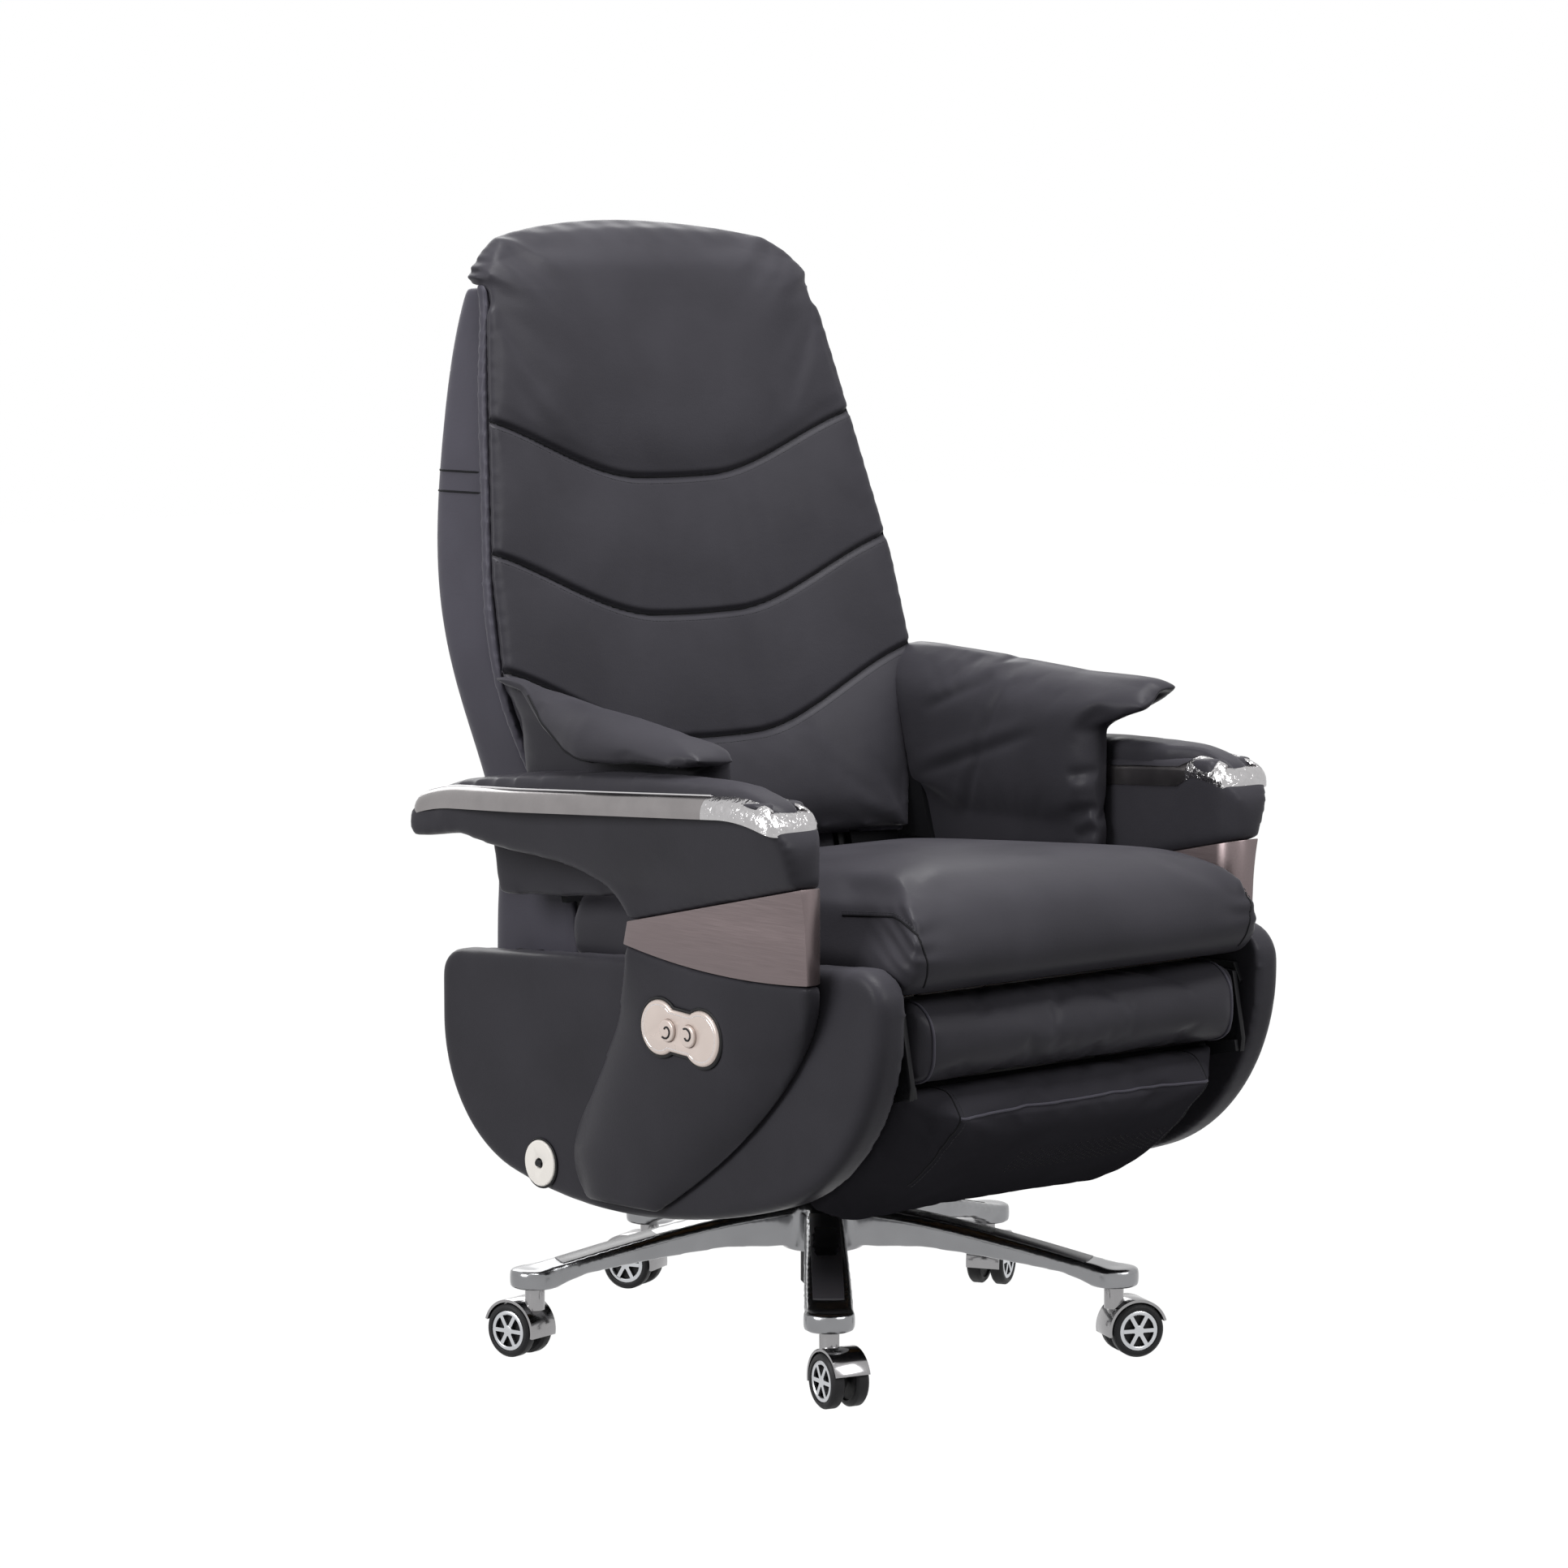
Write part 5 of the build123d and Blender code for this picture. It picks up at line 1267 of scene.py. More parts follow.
@dataclass
class ArmPad(Pad):
    """The slim armrest pad inside its chrome surround."""

    side: Side = Side.LEFT
    node: str = ""
    body: str = "seat"
    swelling: Swelling = Swelling(pressure=3.0, cap=0.004, slack=0.005)
    soften: int = 12
    middle_x: float = 0.3395
    moved_x: float = 0.332
    narrow: float = 0.92
    cut_back: float = 0.55
    cut_from: float = -0.246
    cut_run: float = 0.04
    sink: float = 3 * MM
    front_share: float = 0.975
    rear_share: float = 0.965

    def __post_init__(self) -> None:
        """Names the pad's CAD node for its side."""
        self.node = "arm_pad_" + self.side.word

    def held(self, points: np.ndarray, normals: np.ndarray) -> np.ndarray:
        """Holds the pad's underside and lower edge."""
        return normals[:, 2] < 0.15

    def draw_in(self, points: np.ndarray, normals: np.ndarray) -> np.ndarray:
        """Narrows the pad to the surround's inner lip and lets its nose fall."""
        out = points[:, 0] * self.side.value
        y = points[:, 1]
        across = (out - self.middle_x) * self.narrow
        across *= 1 - self.cut_back * np.clip((self.cut_from - y) / self.cut_run, 0, 1) * (across < 0)
        points[:, 0] = (self.moved_x + across) * self.side.value
        fall = ARM_FORM.seat - ARM_FORM.slope * y - ARM_FORM.top(y)
        points[:, 2] -= fall + self.sink
        points[:, 1] = np.where(y < 0, y * self.front_share, y * self.rear_share)
        return points


@dataclass
class ArmTrim:
    """The chrome surround: a curved strip round the armrest's top, hammered at the nose."""

    side: Side
    drop: float = 5 * MM
    height: float = 19 * MM
    inset: float = 17 * MM
    inner_height: float = 5 * MM
    inner_inset: float = 4 * MM
    inner_drop: float = 13 * MM
    nose_start: float = -0.225
    inner_start: float = -0.270
    steps: int = 7

    def section(self, facing: float, y: float) -> np.ndarray:
        """The strip's section as inset and height: a quarter round, a lip and a hidden rear.

        Args:
            facing: The outline normal's X, which is -1 on the low inner side.
            y: The place along the armrest; the nose stands full on both sides.

        Returns:
            The section's corners.
        """
        behind_nose = np.clip((y - self.inner_start + 12 * MM) / (22 * MM), 0, 1)
        low = float(np.clip(-1.3 * facing, 0, 1) * behind_nose)
        inset = self.inset + low * (self.inner_inset - self.inset)
        height = self.height + low * (self.inner_height - self.height)
        turn = np.linspace(0, math.pi / 2, self.steps)
        outer = np.stack([inset * (1 - np.cos(turn)), height * np.sin(turn)], axis=1)
        drop = self.drop + low * self.inner_drop
        lip = [(inset + 2 * MM, height - 1.5 * MM), (inset + 2 * MM, -drop), (0.0, -drop)]
        return np.concatenate([outer, np.array(lip)]) - np.array([0.8 * MM * low, 0.0])

    def corner(self, place: np.ndarray, normal: np.ndarray, inset: float, rise: float) -> Point:
        """Places one corner of the section at a point of the outline.

        Args:
            place: The outline's point.
            normal: Its outward normal.
            inset: How far inside the outline the corner lies.
            rise: How far over the shell's top it lies.

        Returns:
            The corner.
        """
        (x, y), (nx, ny) = place, normal
        top = float(ARM_FORM.top(np.array([y]))[0])
        return (x - inset * nx) * self.side.value, y - inset * ny, top + rise

    def strip(self, name: str, points: np.ndarray, outward: np.ndarray) -> bpy.types.Object:
        """Sweeps the section along a run of the outline.

        Args:
            name: The strip's name.
            points: The run's points.
            outward: Their outward normals.

        Returns:
            The strip, capped at both ends.
        """
        form = bmesh.new()
        rings = []
        for place, normal in zip(points, outward):
            rings.append([form.verts.new(self.corner(place, normal, inset, rise))
                          for inset, rise in self.section(normal[0], place[1])])
        for a, b in zip(rings, rings[1:]):
            for k in range(len(a)):
                t = (k + 1) % len(a)
                form.faces.new((a[k], a[t], b[t], b[k]))
        form.faces.new(rings[0])
        form.faces.new(rings[-1][::-1])
        piece = piece_of(form, name)
        shade(piece, 40.0)
        return piece

    def build(self) -> None:
        """Builds the long strip, the hammered nose and a bright chrome line along the strip's top edge as a
        painted highlight.
        """
        node = "arm_trim_" + self.side.word
        points, outward = ARM_FORM.outline()
        starts = np.where(outward[:, 0] < -0.5, self.inner_start, self.nose_start)
        nose = np.flatnonzero(points[:, 1] < starts)
        order = np.arange(nose[-1], nose[0] + len(points) + 1) % len(points)
        dress(self.strip(node + "_strip", points[order], outward[order]), TRIM_STEEL, "seat", node)
        dress(self.strip(node + "_nose", points[nose], outward[nose]), HAMMERED_CHROME, "seat")
        # Painted highlight: a bright chrome line along the strip's upper edge.
        highlight_bead = []
        for place, normal in zip(points[order], outward[order]):
            if normal[0] > 0.2:
                inset, rise = self.section(normal[0], place[1])[self.steps - 1]
                highlight_bead.append(Vector(self.corner(place, normal, inset, rise - 0.4 * MM)))
        dress(tube(node + "_bead", highlight_bead, 1.7 * MM), BRIGHT_CHROME_AND_HIGHLIGHT, "seat")


@dataclass
class FootPad(Pad):
    """The upper footrest pad."""

    node: str = "footrest_pad"
    body: str = "footrest"
    swelling: Swelling = Swelling(cap=0.008, slack=0.015)
    middle: tuple[float, float] = (-0.385, 0.407)
    piping_x: float = 0.224

    def held(self, points: np.ndarray, normals: np.ndarray) -> np.ndarray:
        """Holds the rear face."""
        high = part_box(self.node)[1]
        return (points[:, 1] > high.y - 12 * MM) | (normals[:, 1] > 0.6)

    def build(self) -> bpy.types.Object:
        """Builds the pad and the piping round its ends."""
        piece = super().build()
        skin = surface_of(piece)
        for side in Side:
            turn = np.linspace(0, 354, 90)
            path = loop_round(skin, self.piping_x * side.value, self.middle, turn, 0.2 * MM)
            # The piping carries the lighter leather as a painted highlight.
            dress(tube(f"footrest_piping_{side.word}", path, 1.9 * MM, closed=True), PAINTED_HIGHLIGHT_LEATHER, self.body)
        return piece


@dataclass
class CalfPad(Pad):
    """The lower pad, which carries the calves when it is folded out."""

    node: str = "calf_pad"
    body: str = "calf"
    swelling: Swelling = Swelling(cap=0.008, slack=0.015)
    finish: Finish = SHADED_LEATHER
    middle: tuple[float, float] = (-0.335, 0.285)
    seam_x: float = 0.186
    thread_x: float = 0.181
    ridge_start: tuple[float, float] = (-0.80, 0.180)
    ridge_aim: tuple[float, float] = (-0.420, 0.327)
    hole_ends: tuple[float, float] = (-0.060, 0.165)
    hole_pitch: float = 0.010
    hole_turn: tuple[float, float] = (196.0, 246.0)
    hole_rows: int = 14

    def held(self, points: np.ndarray, normals: np.ndarray) -> np.ndarray:
        """Holds the rear face."""
        return normals[:, 1] > 0.4

    def build(self) -> bpy.types.Object:
        """Builds the pad with its ridge piping, cross seams and perforated middle."""
        piece = super().build()
        skin = surface_of(piece)
        across = np.linspace(-self.seam_x, self.seam_x, 70)
        starts = [(x, *self.ridge_start) for x in across]
        ridge = cast_path(skin, starts, [(x, *self.ridge_aim) for x in across], 0.3 * MM)
        # The ridge piping carries the lighter leather as a painted highlight.
        dress(tube("calf_ridge_piping", ridge, 1.6 * MM), PAINTED_HIGHLIGHT_LEATHER, self.body)
        for side in Side:
            turn = np.linspace(110, 262, 60)
            seam = loop_round(skin, self.seam_x * side.value, self.middle, turn, -0.4 * MM)
            dress(tube(f"calf_seam_{side.word}", seam, 1.2 * MM), SEAM_AND_SHADE_LEATHER, self.body)
            turn = np.linspace(112, 260, 60)
            beside = loop_round(skin, self.thread_x * side.value, self.middle, turn, 0.1 * MM)
            SEWING.stitch(f"calf_thread_{side.word}", beside, self.body)
        holes = []
        for row, angle in enumerate(np.linspace(*self.hole_turn, self.hole_rows)):
            for x in np.arange(*self.hole_ends, self.hole_pitch) + self.hole_pitch / 2 * (row % 2):
                holes += loop_round(skin, float(x), self.middle, np.array([angle]), -0.2 * MM)
        SEWING.perforate("calf_perforations", holes, self.body)
        return piece


@dataclass
class Wrapped:
    """A rigid shell that is wrapped in leather: a rounded copy of its CAD node."""

    node: str
    body: str
    voxel: float = 4 * MM
    rounds: int = 8
    finish: Finish = LEATHER

    def reshape(self, points: np.ndarray, normals: np.ndarray) -> np.ndarray:
        """Moves the shell's points before they are relaxed."""
        return points

    def build(self) -> bpy.types.Object:
        """Builds the wrapped shell.

        Returns:
            The dressed shell.
        """
        piece = merged_copy(self.node, self.node + "_wrap")
        remesh(piece, self.voxel)
        place_points(piece, self.reshape(points_of(piece), normals_of(piece)))
        relax(piece, self.rounds)
        shade(piece)
        return dress(piece, self.finish, self.body, self.node)


@dataclass
class RearShell(Wrapped):
    """The rear shell, whose hem hangs down between the side panels."""

    hem: float = 0.480
    reach: float = 34 * MM

    def reshape(self, points: np.ndarray, normals: np.ndarray) -> np.ndarray:
        """Lengthens the shell's hem."""
        points[:, 2] -= self.reach * np.clip((self.hem - points[:, 2]) / 0.02, 0, 1)
        return points


@dataclass
class ArmLeg(Wrapped):
    """The armrest's leg: full in the middle and drawn in towards the panel at its edges."""

    rounds: int = 14
    heights: tuple[float, ...] = (0.190, 0.240, 0.309, 0.405, 0.486)
    rear: tuple[float, ...] = (0.046, 0.070, 0.037, -0.020, -0.050)
    front: tuple[float, ...] = (-0.074, -0.150, -0.240, -0.319, -0.347)
    fullness: float = 5 * MM
    draw: float = 15 * MM
    face_x: float = 0.308
    full_below: float = 0.470
    pit: float = 9 * MM
    pit_reach: float = 20 * MM
    pit_stretch: float = 1.6

    def reshape(self, points: np.ndarray, normals: np.ndarray) -> np.ndarray:
        """Rounds the leg's outer face across its width and leaves room behind the push buttons."""
        side = np.sign(points[:, 0])
        rear = np.interp(points[:, 2], self.heights, self.rear)
        front = np.interp(points[:, 2], self.heights, self.front)
        across = np.clip((points[:, 1] - (rear + front) / 2) / np.maximum((rear - front) / 2, MM), -1, 1)
        outside = np.clip((np.abs(points[:, 0]) - self.face_x) / 0.014, 0, 1)
        level = np.clip((self.full_below - points[:, 2]) / 0.08, 0, 1)
        points[:, 0] += side * outside * level * (self.fullness * (1 - across ** 2) - self.draw * across ** 4)
        middle_y, middle_z = SWITCH_MIDDLE
        away = np.hypot((points[:, 1] - middle_y) / self.pit_stretch, points[:, 2] - middle_z)
        points[:, 0] += self.pit * outside * near(away, self.pit_reach) * (side < 0)
        return points


@dataclass
class ArmShell(Wrapped):
    """The armrest's upper shell, full under its chrome surround and round at the tail."""

    rounds: int = 16
    raise_top: float = 13 * MM
    bulge: float = 7 * MM
    low: float = 0.548
    tail_from: float = 0.215
    end_from: float = 0.262
    end_run: float = 0.041

    def reshape(self, points: np.ndarray, normals: np.ndarray) -> np.ndarray:
        """Runs the top up inside the surround, swells the outside and fills the tail."""
        y, z = points[:, 1], points[:, 2]
        side = np.sign(points[:, 0])
        flat = ARM_FORM.seat - ARM_FORM.slope * y
        share = np.clip((z - self.low) / (flat - self.low), 0, 1)
        outside = np.clip(normals[:, 0] * side * 2, 0, 1)
        points[:, 0] += side * outside * self.bulge * np.sin(math.pi * share)
        tail = np.clip((y - self.tail_from) / 0.08, 0, 1)
        points[:, 2] -= 20 * MM * tail * (normals[:, 2] < -0.2)
        points[:, 2] += self.raise_top * (z > flat - 4 * MM)
        points[:, 2] -= ARM_FORM.tail(y)
        end = np.clip((y - self.end_from) / self.end_run, 0, 1)
        middle = ARM_FORM.top(y) - 22 * MM
        points[:, 2] = middle + (points[:, 2] - middle) * np.sqrt(np.maximum(1 - 0.80 * end ** 2, 0.05))
        points[:, 1] += 6 * MM * end
        return points


@dataclass
class Metalwork:
    """A hard piece: a merged copy of its CAD node with softened edges."""

    node: str
    body: str
    finish: Finish
    edge: float = 0.6 * MM
    crease: float = 32.0

    def build(self) -> bpy.types.Object:
        """Builds the piece.

        Returns:
            The dressed piece.
        """
        piece = merged_copy(self.node, self.node + "_skin")
        form = bmesh.new()
        form.from_mesh(piece.data)
        bmesh.ops.dissolve_limit(form, angle_limit=math.radians(0.5), verts=form.verts, edges=form.edges)
        form.to_mesh(piece.data)
        form.free()
        if self.edge:
            modifier = piece.modifiers.new("Edges", "BEVEL")
            modifier.limit_method = "ANGLE"
            modifier.angle_limit = math.radians(self.crease)
            modifier.width = self.edge
            modifier.segments = 2
            modifier.use_clamp_overlap = True
            settle(piece)
        shade(piece, self.crease)
        return dress(piece, self.finish, self.body, self.node)


@dataclass
class Studio:
    """The pale floor, the soft lamps and the camera."""

    camera_place: Point = (-3.9244, -4.3585, 1.2659)
    camera_aim: Point = (0.6597, 0.7438, -0.1075)
    lens: float = 120.35
    floor_half: float = 14.0
    lamps: tuple[tuple[str, Point, float, float], ...] = (
        ("key", (-3.9, 0.5, 2.4), 2.2, 175.0),
        ("front", (1.0, -4.0, 3.4), 2.4, 130.0),
        ("top", (0.0, -0.6, 4.0), 2.2, 235.0),
        ("rear", (1.8, 3.6, 2.6), 2.6, 60.0),
    )
    lamp_aim: Point = (0.0, 0.0, 0.6)
    paper: float = 0.22
    glow: float = 1.08
    glow_share: float = 0.93
    ambient: float = 0.22

    def build(self) -> None:
        """Builds the whole studio."""
        self._floor()
        self._world()
        for name, place, size, power in self.lamps:
            self._lamp(name, place, size, power)
        self._camera()
        bpy.context.scene.view_settings.view_transform = "Standard"

    def _seen(self, tree: bpy.types.NodeTree) -> bpy.types.Node:
        """Adds a node that is 1 for rays that show the background.

        Args:
            tree: The tree of the floor or the world.

        Returns:
            A Math node, 1 for camera, glossy and transmission rays and 0 for the rest.
        """
        rays = tree.nodes.new("ShaderNodeLightPath")
        total = None
        for output in ("Is Camera Ray", "Is Glossy Ray", "Is Transmission Ray"):
            if total is None:
                total = rays.outputs[output]
                continue
            add = tree.nodes.new("ShaderNodeMath")
            add.operation = "MAXIMUM"
            tree.links.new(total, add.inputs[0])
            tree.links.new(rays.outputs[output], add.inputs[1])
            total = add.outputs[0]
        return total.node

    def _floor(self) -> None:
        """Lays the floor, white to the eye with a faint shadow."""
        half = self.floor_half
        mesh = bpy.data.meshes.new("floor")
        corners = [(-half, -half, 0), (half, -half, 0), (half, half, 0), (-half, half, 0)]
        mesh.from_pydata(corners, [], [(0, 1, 2, 3)])
        floor = new_piece("floor", mesh)
        material = bpy.data.materials.new("floor_paper")
        material.use_nodes = True
        tree = material.node_tree
        tree.nodes.clear()
        paper = tree.nodes.new("ShaderNodeBsdfDiffuse")
        paper.inputs["Color"].default_value = (self.paper, self.paper, self.paper, 1)
        glow = tree.nodes.new("ShaderNodeEmission")
        glow.inputs["Strength"].default_value = self.glow
        mix = tree.nodes.new("ShaderNodeMixShader")
        share = tree.nodes.new("ShaderNodeMath")
        share.operation = "MULTIPLY"
        share.inputs[1].default_value = self.glow_share
        output = tree.nodes.new("ShaderNodeOutputMaterial")
        tree.links.new(self._seen(tree).outputs[0], share.inputs[0])
        tree.links.new(share.outputs[0], mix.inputs[0])
        tree.links.new(paper.outputs[0], mix.inputs[1])
        tree.links.new(glow.outputs[0], mix.inputs[2])
        tree.links.new(mix.outputs[0], output.inputs["Surface"])
        mesh.materials.append(material)

    def _world(self) -> None:
        """Lights the room evenly and shows it white."""
        world = bpy.data.worlds.new("studio")
        bpy.context.scene.world = world
        world.use_nodes = True
        tree = world.node_tree
        tree.nodes.clear()
        ambient = tree.nodes.new("ShaderNodeBackground")
        ambient.inputs["Color"].default_value = (1, 1, 1, 1)
        ambient.inputs["Strength"].default_value = self.ambient
        white = tree.nodes.new("ShaderNodeBackground")
        white.inputs["Color"].default_value = (1, 1, 1, 1)
        mix = tree.nodes.new("ShaderNodeMixShader")
        output = tree.nodes.new("ShaderNodeOutputWorld")
        tree.links.new(self._seen(tree).outputs[0], mix.inputs[0])
        tree.links.new(ambient.outputs[0], mix.inputs[1])
        tree.links.new(white.outputs[0], mix.inputs[2])
        tree.links.new(mix.outputs[0], output.inputs["Surface"])

    def _lamp(self, name: str, place: Point, size: float, power: float) -> None:
        """Hangs one soft square lamp.

        Args:
            name: The lamp's name.
            place: Where it hangs.
            size: The side of its square.
            power: Its power in watts.
        """
        light = bpy.data.lights.new(name, "AREA")
        light.size = size
        light.energy = power
        lamp = bpy.data.objects.new(name, light)
        bpy.context.scene.collection.objects.link(lamp)
        lamp.location = place
        aim = Vector(self.lamp_aim) - Vector(place)
        lamp.rotation_euler = aim.to_track_quat("-Z", "Y").to_euler()

    def _camera(self) -> None:
        """Sets the camera at the photograph's place."""
        data = bpy.data.cameras.new("camera")
        data.lens = self.lens
        data.sensor_width = 36.0
        data.clip_end = 60.0
        camera = bpy.data.objects.new("camera", data)
        bpy.context.scene.collection.objects.link(camera)
        camera.location = self.camera_place
        camera.rotation_euler = Vector(self.camera_aim).to_track_quat("-Z", "Y").to_euler()
        bpy.context.scene.camera = camera


@dataclass
class Casting(Wrapped):
    """The star base: a casting with rounded, loaf-like arms."""

    lift: float = 6 * MM
    hub_reach: float = 0.070
    hub_run: float = 0.050
    tip_reach: float = 0.315
    tip_run: float = 0.030

    def reshape(self, points: np.ndarray, normals: np.ndarray) -> np.ndarray:
        """Thins the arms from below, away from the hub."""
        radius = np.hypot(points[:, 0], points[:, 1])
        arm = np.clip((radius - self.hub_reach) / self.hub_run, 0, 1)
        arm *= np.clip((self.tip_reach - radius) / self.tip_run, 0, 1)
        points[:, 2] += self.lift * arm * np.clip(-normals[:, 2] * 2, 0, 1)
        return points


@dataclass
class WheelFaces:
    """The two spoked faces of one caster's wheels, with their dark core."""

    number: int
    trail_angles: tuple[float, ...] = (-104.0, -23.0, 28.0, 113.0, 101.0)
    ring: tuple[float, float] = (18.0 * MM, 22.6 * MM)
    hub: float = 6.0 * MM
    face: tuple[float, float] = (18.5 * MM, 22.0 * MM)
    spokes: int = 6
    spoke_width: float = 4.4 * MM
    eye: float = 0.2 * MM
    core: tuple[float, float] = (4.0 * MM, 22.7 * MM)
    core_face: tuple[float, float] = (9.0 * MM, 16.0 * MM)

    def lathe(self, form: bmesh.types.BMesh, profile: Sequence[tuple[float, float]], sides: int = 40) -> None:
        """Turns a closed profile of radius and height round Z."""
        rings = []
        for k in range(sides):
            angle = 2 * math.pi * k / sides
            rings.append([form.verts.new((r * math.cos(angle), r * math.sin(angle), h)) for r, h in profile])
        for k in range(sides):
            a, b = rings[k], rings[(k + 1) % sides]
            for j in range(len(profile)):
                t = (j + 1) % len(profile)
                form.faces.new((a[j], b[j], b[t], a[t]))

    def piece(self, name: str, profiles: Sequence[Sequence[tuple[float, float]]]) -> bpy.types.Object:
        """Makes a piece of turned profiles round Z."""
        form = bmesh.new()
        for profile in profiles:
            self.lathe(form, profile)
        return piece_of(form, name)

    def place(self, piece: bpy.types.Object, flip: bool) -> None:
        """Turns a piece from Z to the caster's axle and moves it there."""
        low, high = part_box(f"caster_{self.number}_rims")
        angle = math.radians(self.trail_angles[self.number - 1] + (90 if flip else -90))
        axle = Vector((math.cos(angle), math.sin(angle), 0))
        turn = axle.to_track_quat("Z", "Y").to_matrix().to_4x4()
        turn.translation = (low + high) / 2
        piece.data.transform(turn)

    def build(self) -> None:
        """Builds both silver faces and both dark cores."""
        body = f"wheels_{self.number}"
        inner, outer = self.ring
        back, front = self.face
        for k, flip in enumerate((False, True)):
            name = f"caster_{self.number}_face_{k + 1}"
            ring = [(inner, back), (outer, back), (outer, front - 0.8 * MM), (outer - 1.5 * MM, front),
                    (inner + 1 * MM, front), (inner, front - 0.8 * MM)]
            hub = [(self.eye, back), (self.hub, back), (self.hub, front - 0.6 * MM),
                   (self.hub - 1.5 * MM, front), (self.eye, front)]
            wheel = SPOKES.run(self.piece(name, (ring, hub)),
                               Count=self.spokes, Middle=(inner + self.hub) / 2,
                               Size=(inner - self.hub + 2 * MM, self.spoke_width, front - back - 0.8 * MM),
                               Rise=(0.0, 0.0, (back + front) / 2), Material=SHELF.take(WHEEL_SILVER))
            self.place(wheel, flip)
            shade(wheel, 35.0)
            dress(wheel, WHEEL_SILVER, body, *((f"caster_{self.number}_rims",) if k == 0 else ()))
            axle, disc = self.core
            low, high = self.core_face
            barrel = [(self.eye, self.eye), (axle, self.eye), (axle, low),
                      (disc, low), (disc, high), (self.eye, high)]
            core = self.piece(name + "_core", (barrel,))
            self.place(core, flip)
            shade(core, 35.0)
            dress(core, TYRE, body)


class StarBase:
    """The five-star base, its gas column and the casters."""

    def build(self) -> None:
        """Builds the base and its casters."""
        Casting("star_base", "base", 3 * MM, 14, POLISHED_ALUMINIUM).build()
        Metalwork("base_inlays", "base", GLOSS_INLAY, 0.4 * MM).build()
        Metalwork("gas_cylinder", "base", BLACK_STEEL).build()
        Metalwork("gas_piston", "lift", CHROME, 0.0).build()
        for k in range(1, 6):
            Metalwork(f"caster_{k}_fork", f"caster_{k}", CHROME, 0.5 * MM).build()
            Metalwork(f"caster_{k}_tyres", f"wheels_{k}", TYRE, 0.6 * MM).build()
            WheelFaces(k).build()


class SeatFrame:
    """The hidden frame under the cushions, its lever and its drive."""

    parts: tuple[tuple[str, str, Finish], ...] = (
        ("seat_plate", "seat", BLACK_STEEL),
        ("front_beam", "seat", BLACK_STEEL),
        ("rear_beam", "seat", BLACK_STEEL),
        ("side_rail_left", "seat", BLACK_STEEL),
        ("side_rail_right", "seat", BLACK_STEEL),
        ("seat_board", "seat", PLYWOOD),
        ("control_box", "seat", BLACK_MOULDING_AND_SHADE),
        ("lift_lever", "lever", BLACK_STEEL),
        ("actuator_body", "actuator", BLACK_MOULDING_AND_SHADE),
        ("actuator_rod", "rod", CHROME),
        ("back_frame", "back", BLACK_STEEL),
        ("footrest_frame", "footrest", BLACK_STEEL),
        ("calf_frame", "calf", BLACK_STEEL),
    )

    def build(self) -> None:
        """Builds each hidden piece as softened metalwork."""
        for node, body, finish in self.parts:
            Metalwork(node, body, finish).build()


@dataclass
class Armrest:
    """One armrest: leg, metal band, upper shell, chrome trim and pad."""

    side: Side

    def build(self) -> None:
        """Builds the armrest and its side panel."""
        word = self.side.word
        Wrapped(f"side_panel_{word}", "seat").build()
        ArmLeg(f"arm_leg_{word}", "seat").build()
        ArmShell(f"arm_shell_{word}", "seat").build()
        Metalwork(f"arm_band_{word}", "seat", ROSE_BAND, 1.2 * MM).build()
        ArmTrim(self.side).build()
        ArmPad(side=self.side).build()
        WingPad(side=self.side).build()


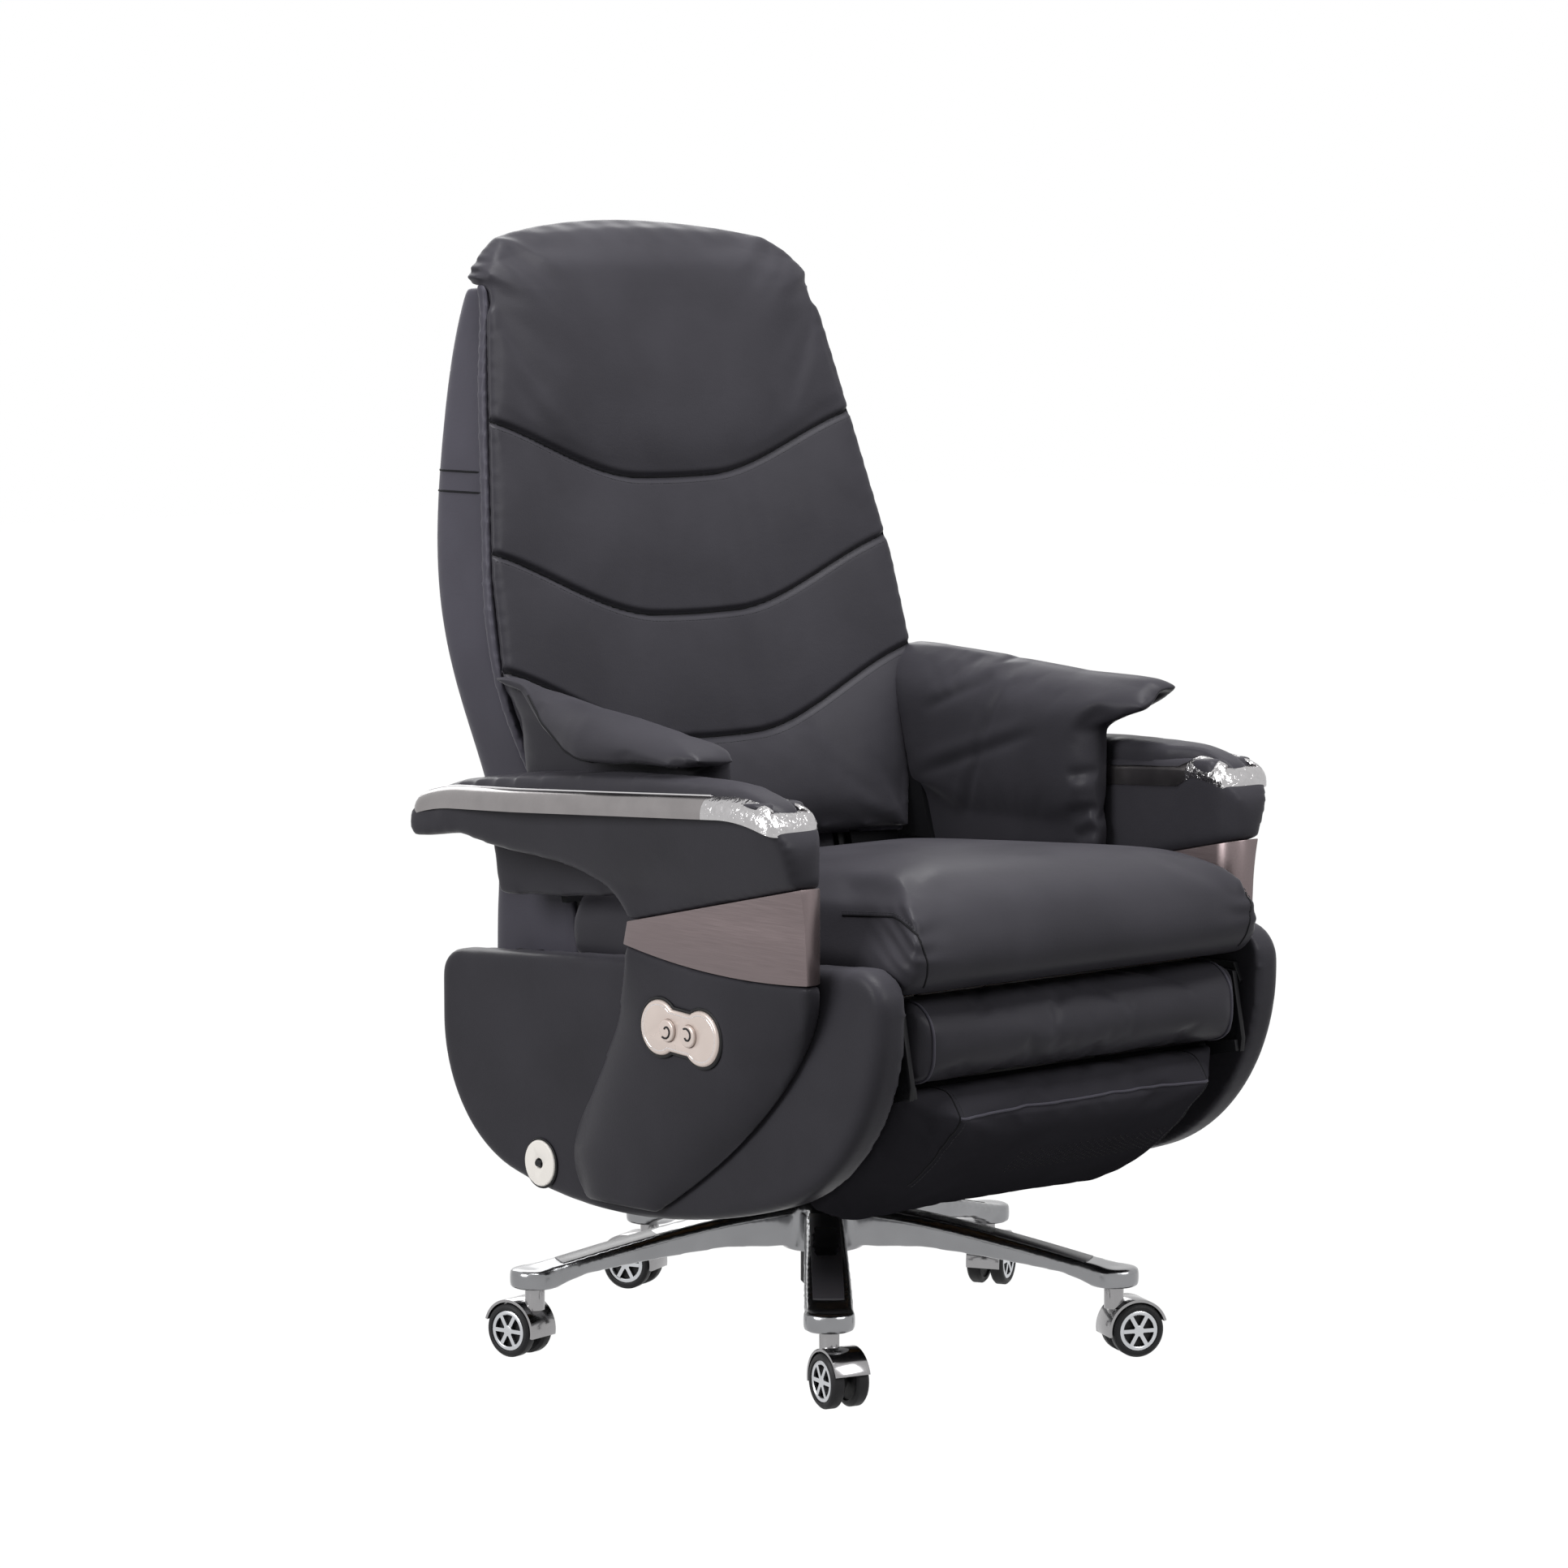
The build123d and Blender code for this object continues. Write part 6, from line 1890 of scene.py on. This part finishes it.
@dataclass
class SwitchPanel:
    """The switch on the right leg and the power inlet on the right panel."""

    middle: tuple[float, float] = SWITCH_MIDDLE
    tilt: float = 4.0
    lobe: float = 30 * MM
    spacing: float = 34 * MM
    waist: float = 23 * MM
    button_spacing: float = 17 * MM
    button_face: float = -0.3416
    shade_ring_x: float = -0.3335
    ring_x: float = -0.3376
    socket: Point = (-0.302, 0.132, 0.218)
    socket_radius: float = 27 * MM

    def at(self, x: float, along: float, up: float) -> Vector:
        """A place on the tilted switch."""
        turn = math.radians(self.tilt)
        return Vector((x, self.middle[0] + along * math.cos(turn) - up * math.sin(turn),
                       self.middle[1] + along * math.sin(turn) + up * math.cos(turn)))

    def outline(self, x: float, extra: float) -> list[Vector]:
        """The peanut outline of the switch, wider by extra."""
        path = []
        reach = math.degrees(math.asin(self.waist / self.lobe))
        for lobe, start in ((1, -180 + reach), (-1, reach)):
            for angle in np.radians(np.linspace(start, start + 360 - 2 * reach, 40)):
                path.append(self.at(x, lobe * self.spacing + (self.lobe + extra) * math.cos(angle),
                                    (self.lobe + extra) * math.sin(angle)))
        return path

    def curl(self, along: float, hand: int) -> list[Vector]:
        """A curled icon on a button's face."""
        path = []
        for share in np.linspace(0, 1, 26):
            angle = hand * (0.6 + 1.5 * math.pi * share)
            radius = (2.6 + 6.4 * share) * MM
            path.append(self.at(self.button_face, along + radius * math.cos(angle), radius * math.sin(angle)))
        return path

    def build(self) -> None:
        """Builds the bezel, the two buttons with their icons, and the socket with its dark hole."""
        Metalwork("switch_bezel", "seat", CHAMPAGNE, 0.8 * MM).build()
        # Painted shade: a black ring in the recess round the switch.
        shade_ring = tube("switch_shade_ring", self.outline(self.shade_ring_x, 1.6 * MM), 2.2 * MM, closed=True)
        dress(shade_ring, BLACK_MOULDING_AND_SHADE, "seat")
        ring = tube("switch_ring", self.outline(self.ring_x, -5 * MM), 0.6 * MM, closed=True)
        dress(ring, BRIGHT_CHROME_AND_HIGHLIGHT, "seat")
        for word, hand in (("recline", 1), ("return", -1)):
            node, body = word + "_button", word + "_switch"
            Metalwork(node, body, CHAMPAGNE, 0.8 * MM).build()
            icon = tube(node + "_icon", self.curl(hand * self.button_spacing, hand), 1.1 * MM)
            dress(icon, BLACK_MOULDING_AND_SHADE, body)
        Metalwork("power_socket", "seat", WHITE_MOULDING, 0.8 * MM).build()
        x, y, z = self.socket
        slot = [Vector((x - 2.0 * MM, y + shift * MM, z)) for shift in (-5.0, -2.5, 0.0, 2.5, 5.0)]
        dress(tube("socket_slot", slot, 4.4 * MM, 20), BLACK_MOULDING_AND_SHADE, "seat")
        turn = np.linspace(0, 2 * math.pi, 48, endpoint=False)
        radius = self.socket_radius
        rim = [Vector((x - 1.0 * MM, y + radius * math.cos(a), z + radius * math.sin(a))) for a in turn]
        dress(tube("socket_shadow_line", rim, 1.6 * MM, closed=True), BLACK_MOULDING_AND_SHADE, "seat")


@dataclass
class ShadeSlab:
    """A near-black leaning slab of painted shade: in the corner under the back cushion's side, where it also
    closes a gap, and under a wing's flap.
    """

    side: Side
    name: str
    form: BackForm = field(default_factory=BackForm)
    inner: float = 0.190
    outer: float = 0.256
    low: float = 0.505
    high: float = 0.575
    depth: float = 0.026
    thickness: float = 8 * MM

    def build(self) -> None:
        """Builds the painted shade as a leaning slab."""
        form = bmesh.new()
        corners = []
        for z in (self.low, self.high):
            for x in (self.inner, self.outer):
                front = float(self.form.face(np.array([x]), np.array([z]))[0]) + self.depth
                for y in (front, front + self.thickness):
                    corners.append(form.verts.new((x * self.side.value, y, z)))
        bmesh.ops.convex_hull(form, input=corners)
        dress(piece_of(form, f"{self.name}_{self.side.word}"), SEAM_AND_SHADE_LEATHER, "back")


class Backrest:
    """The reclining back: cushion, wrapped board edge and rear shell."""

    pocket_heights: tuple[float, ...] = (0.980, 0.957)
    pocket_y: float = 0.32

    def build(self) -> None:
        """Builds the back's layers."""
        BackCushion().build()
        # The board edge and the rear shell carry the lighter leather as a painted highlight.
        Wrapped("back_board", "back", 4 * MM, 3, PAINTED_HIGHLIGHT_LEATHER).build()
        shell = RearShell("back_shell", "back", 5 * MM, 8, PAINTED_HIGHLIGHT_LEATHER).build()
        skin = surface_of(shell)
        for k, height in enumerate(self.pocket_heights):
            turn = np.radians(np.linspace(-20, 200, 120))
            starts = [(math.cos(a), self.pocket_y + math.sin(a), height) for a in turn]
            path = cast_path(skin, starts, [(0.0, self.pocket_y, height)] * len(starts), -0.3 * MM)
            dress(tube(f"pocket_seam_{k + 1}", path, 1.4 * MM), SEAM_AND_SHADE_LEATHER, "back")
            SEWING.stitch(f"pocket_thread_{k + 1}", [p + Vector((0, 0, -4 * MM)) for p in path], "back")
        for side in Side:
            # Near-black slabs: painted shade in the corner under the back cushion's side, which also closes a
            # gap there, and painted shadow under each wing's flap.
            ShadeSlab(side, "back_corner_shade").build()
            ShadeSlab(side, "wing_flap_shade", inner=0.268, outer=0.292, low=0.540, high=0.645, depth=-0.016,
                    thickness=0.052).build()


class Footrest:
    """The fold-out footrest with its two pads."""

    def build(self) -> None:
        """Builds both pads."""
        FootPad().build()
        CalfPad().build()


def main() -> None:
    """Builds the studio and every sub-assembly of the chair."""
    logging.basicConfig(level=logging.INFO, format="%(name)s %(message)s")
    assemblies: list[Callable[[], None]] = [
        Studio().build,
        StarBase().build,
        SeatFrame().build,
        SeatCushion().build,
        Armrest(Side.LEFT).build,
        Armrest(Side.RIGHT).build,
        SwitchPanel().build,
        Backrest().build,
        Footrest().build,
    ]
    for assemble in assemblies:
        assemble()


if __name__ == "__main__":
    main()
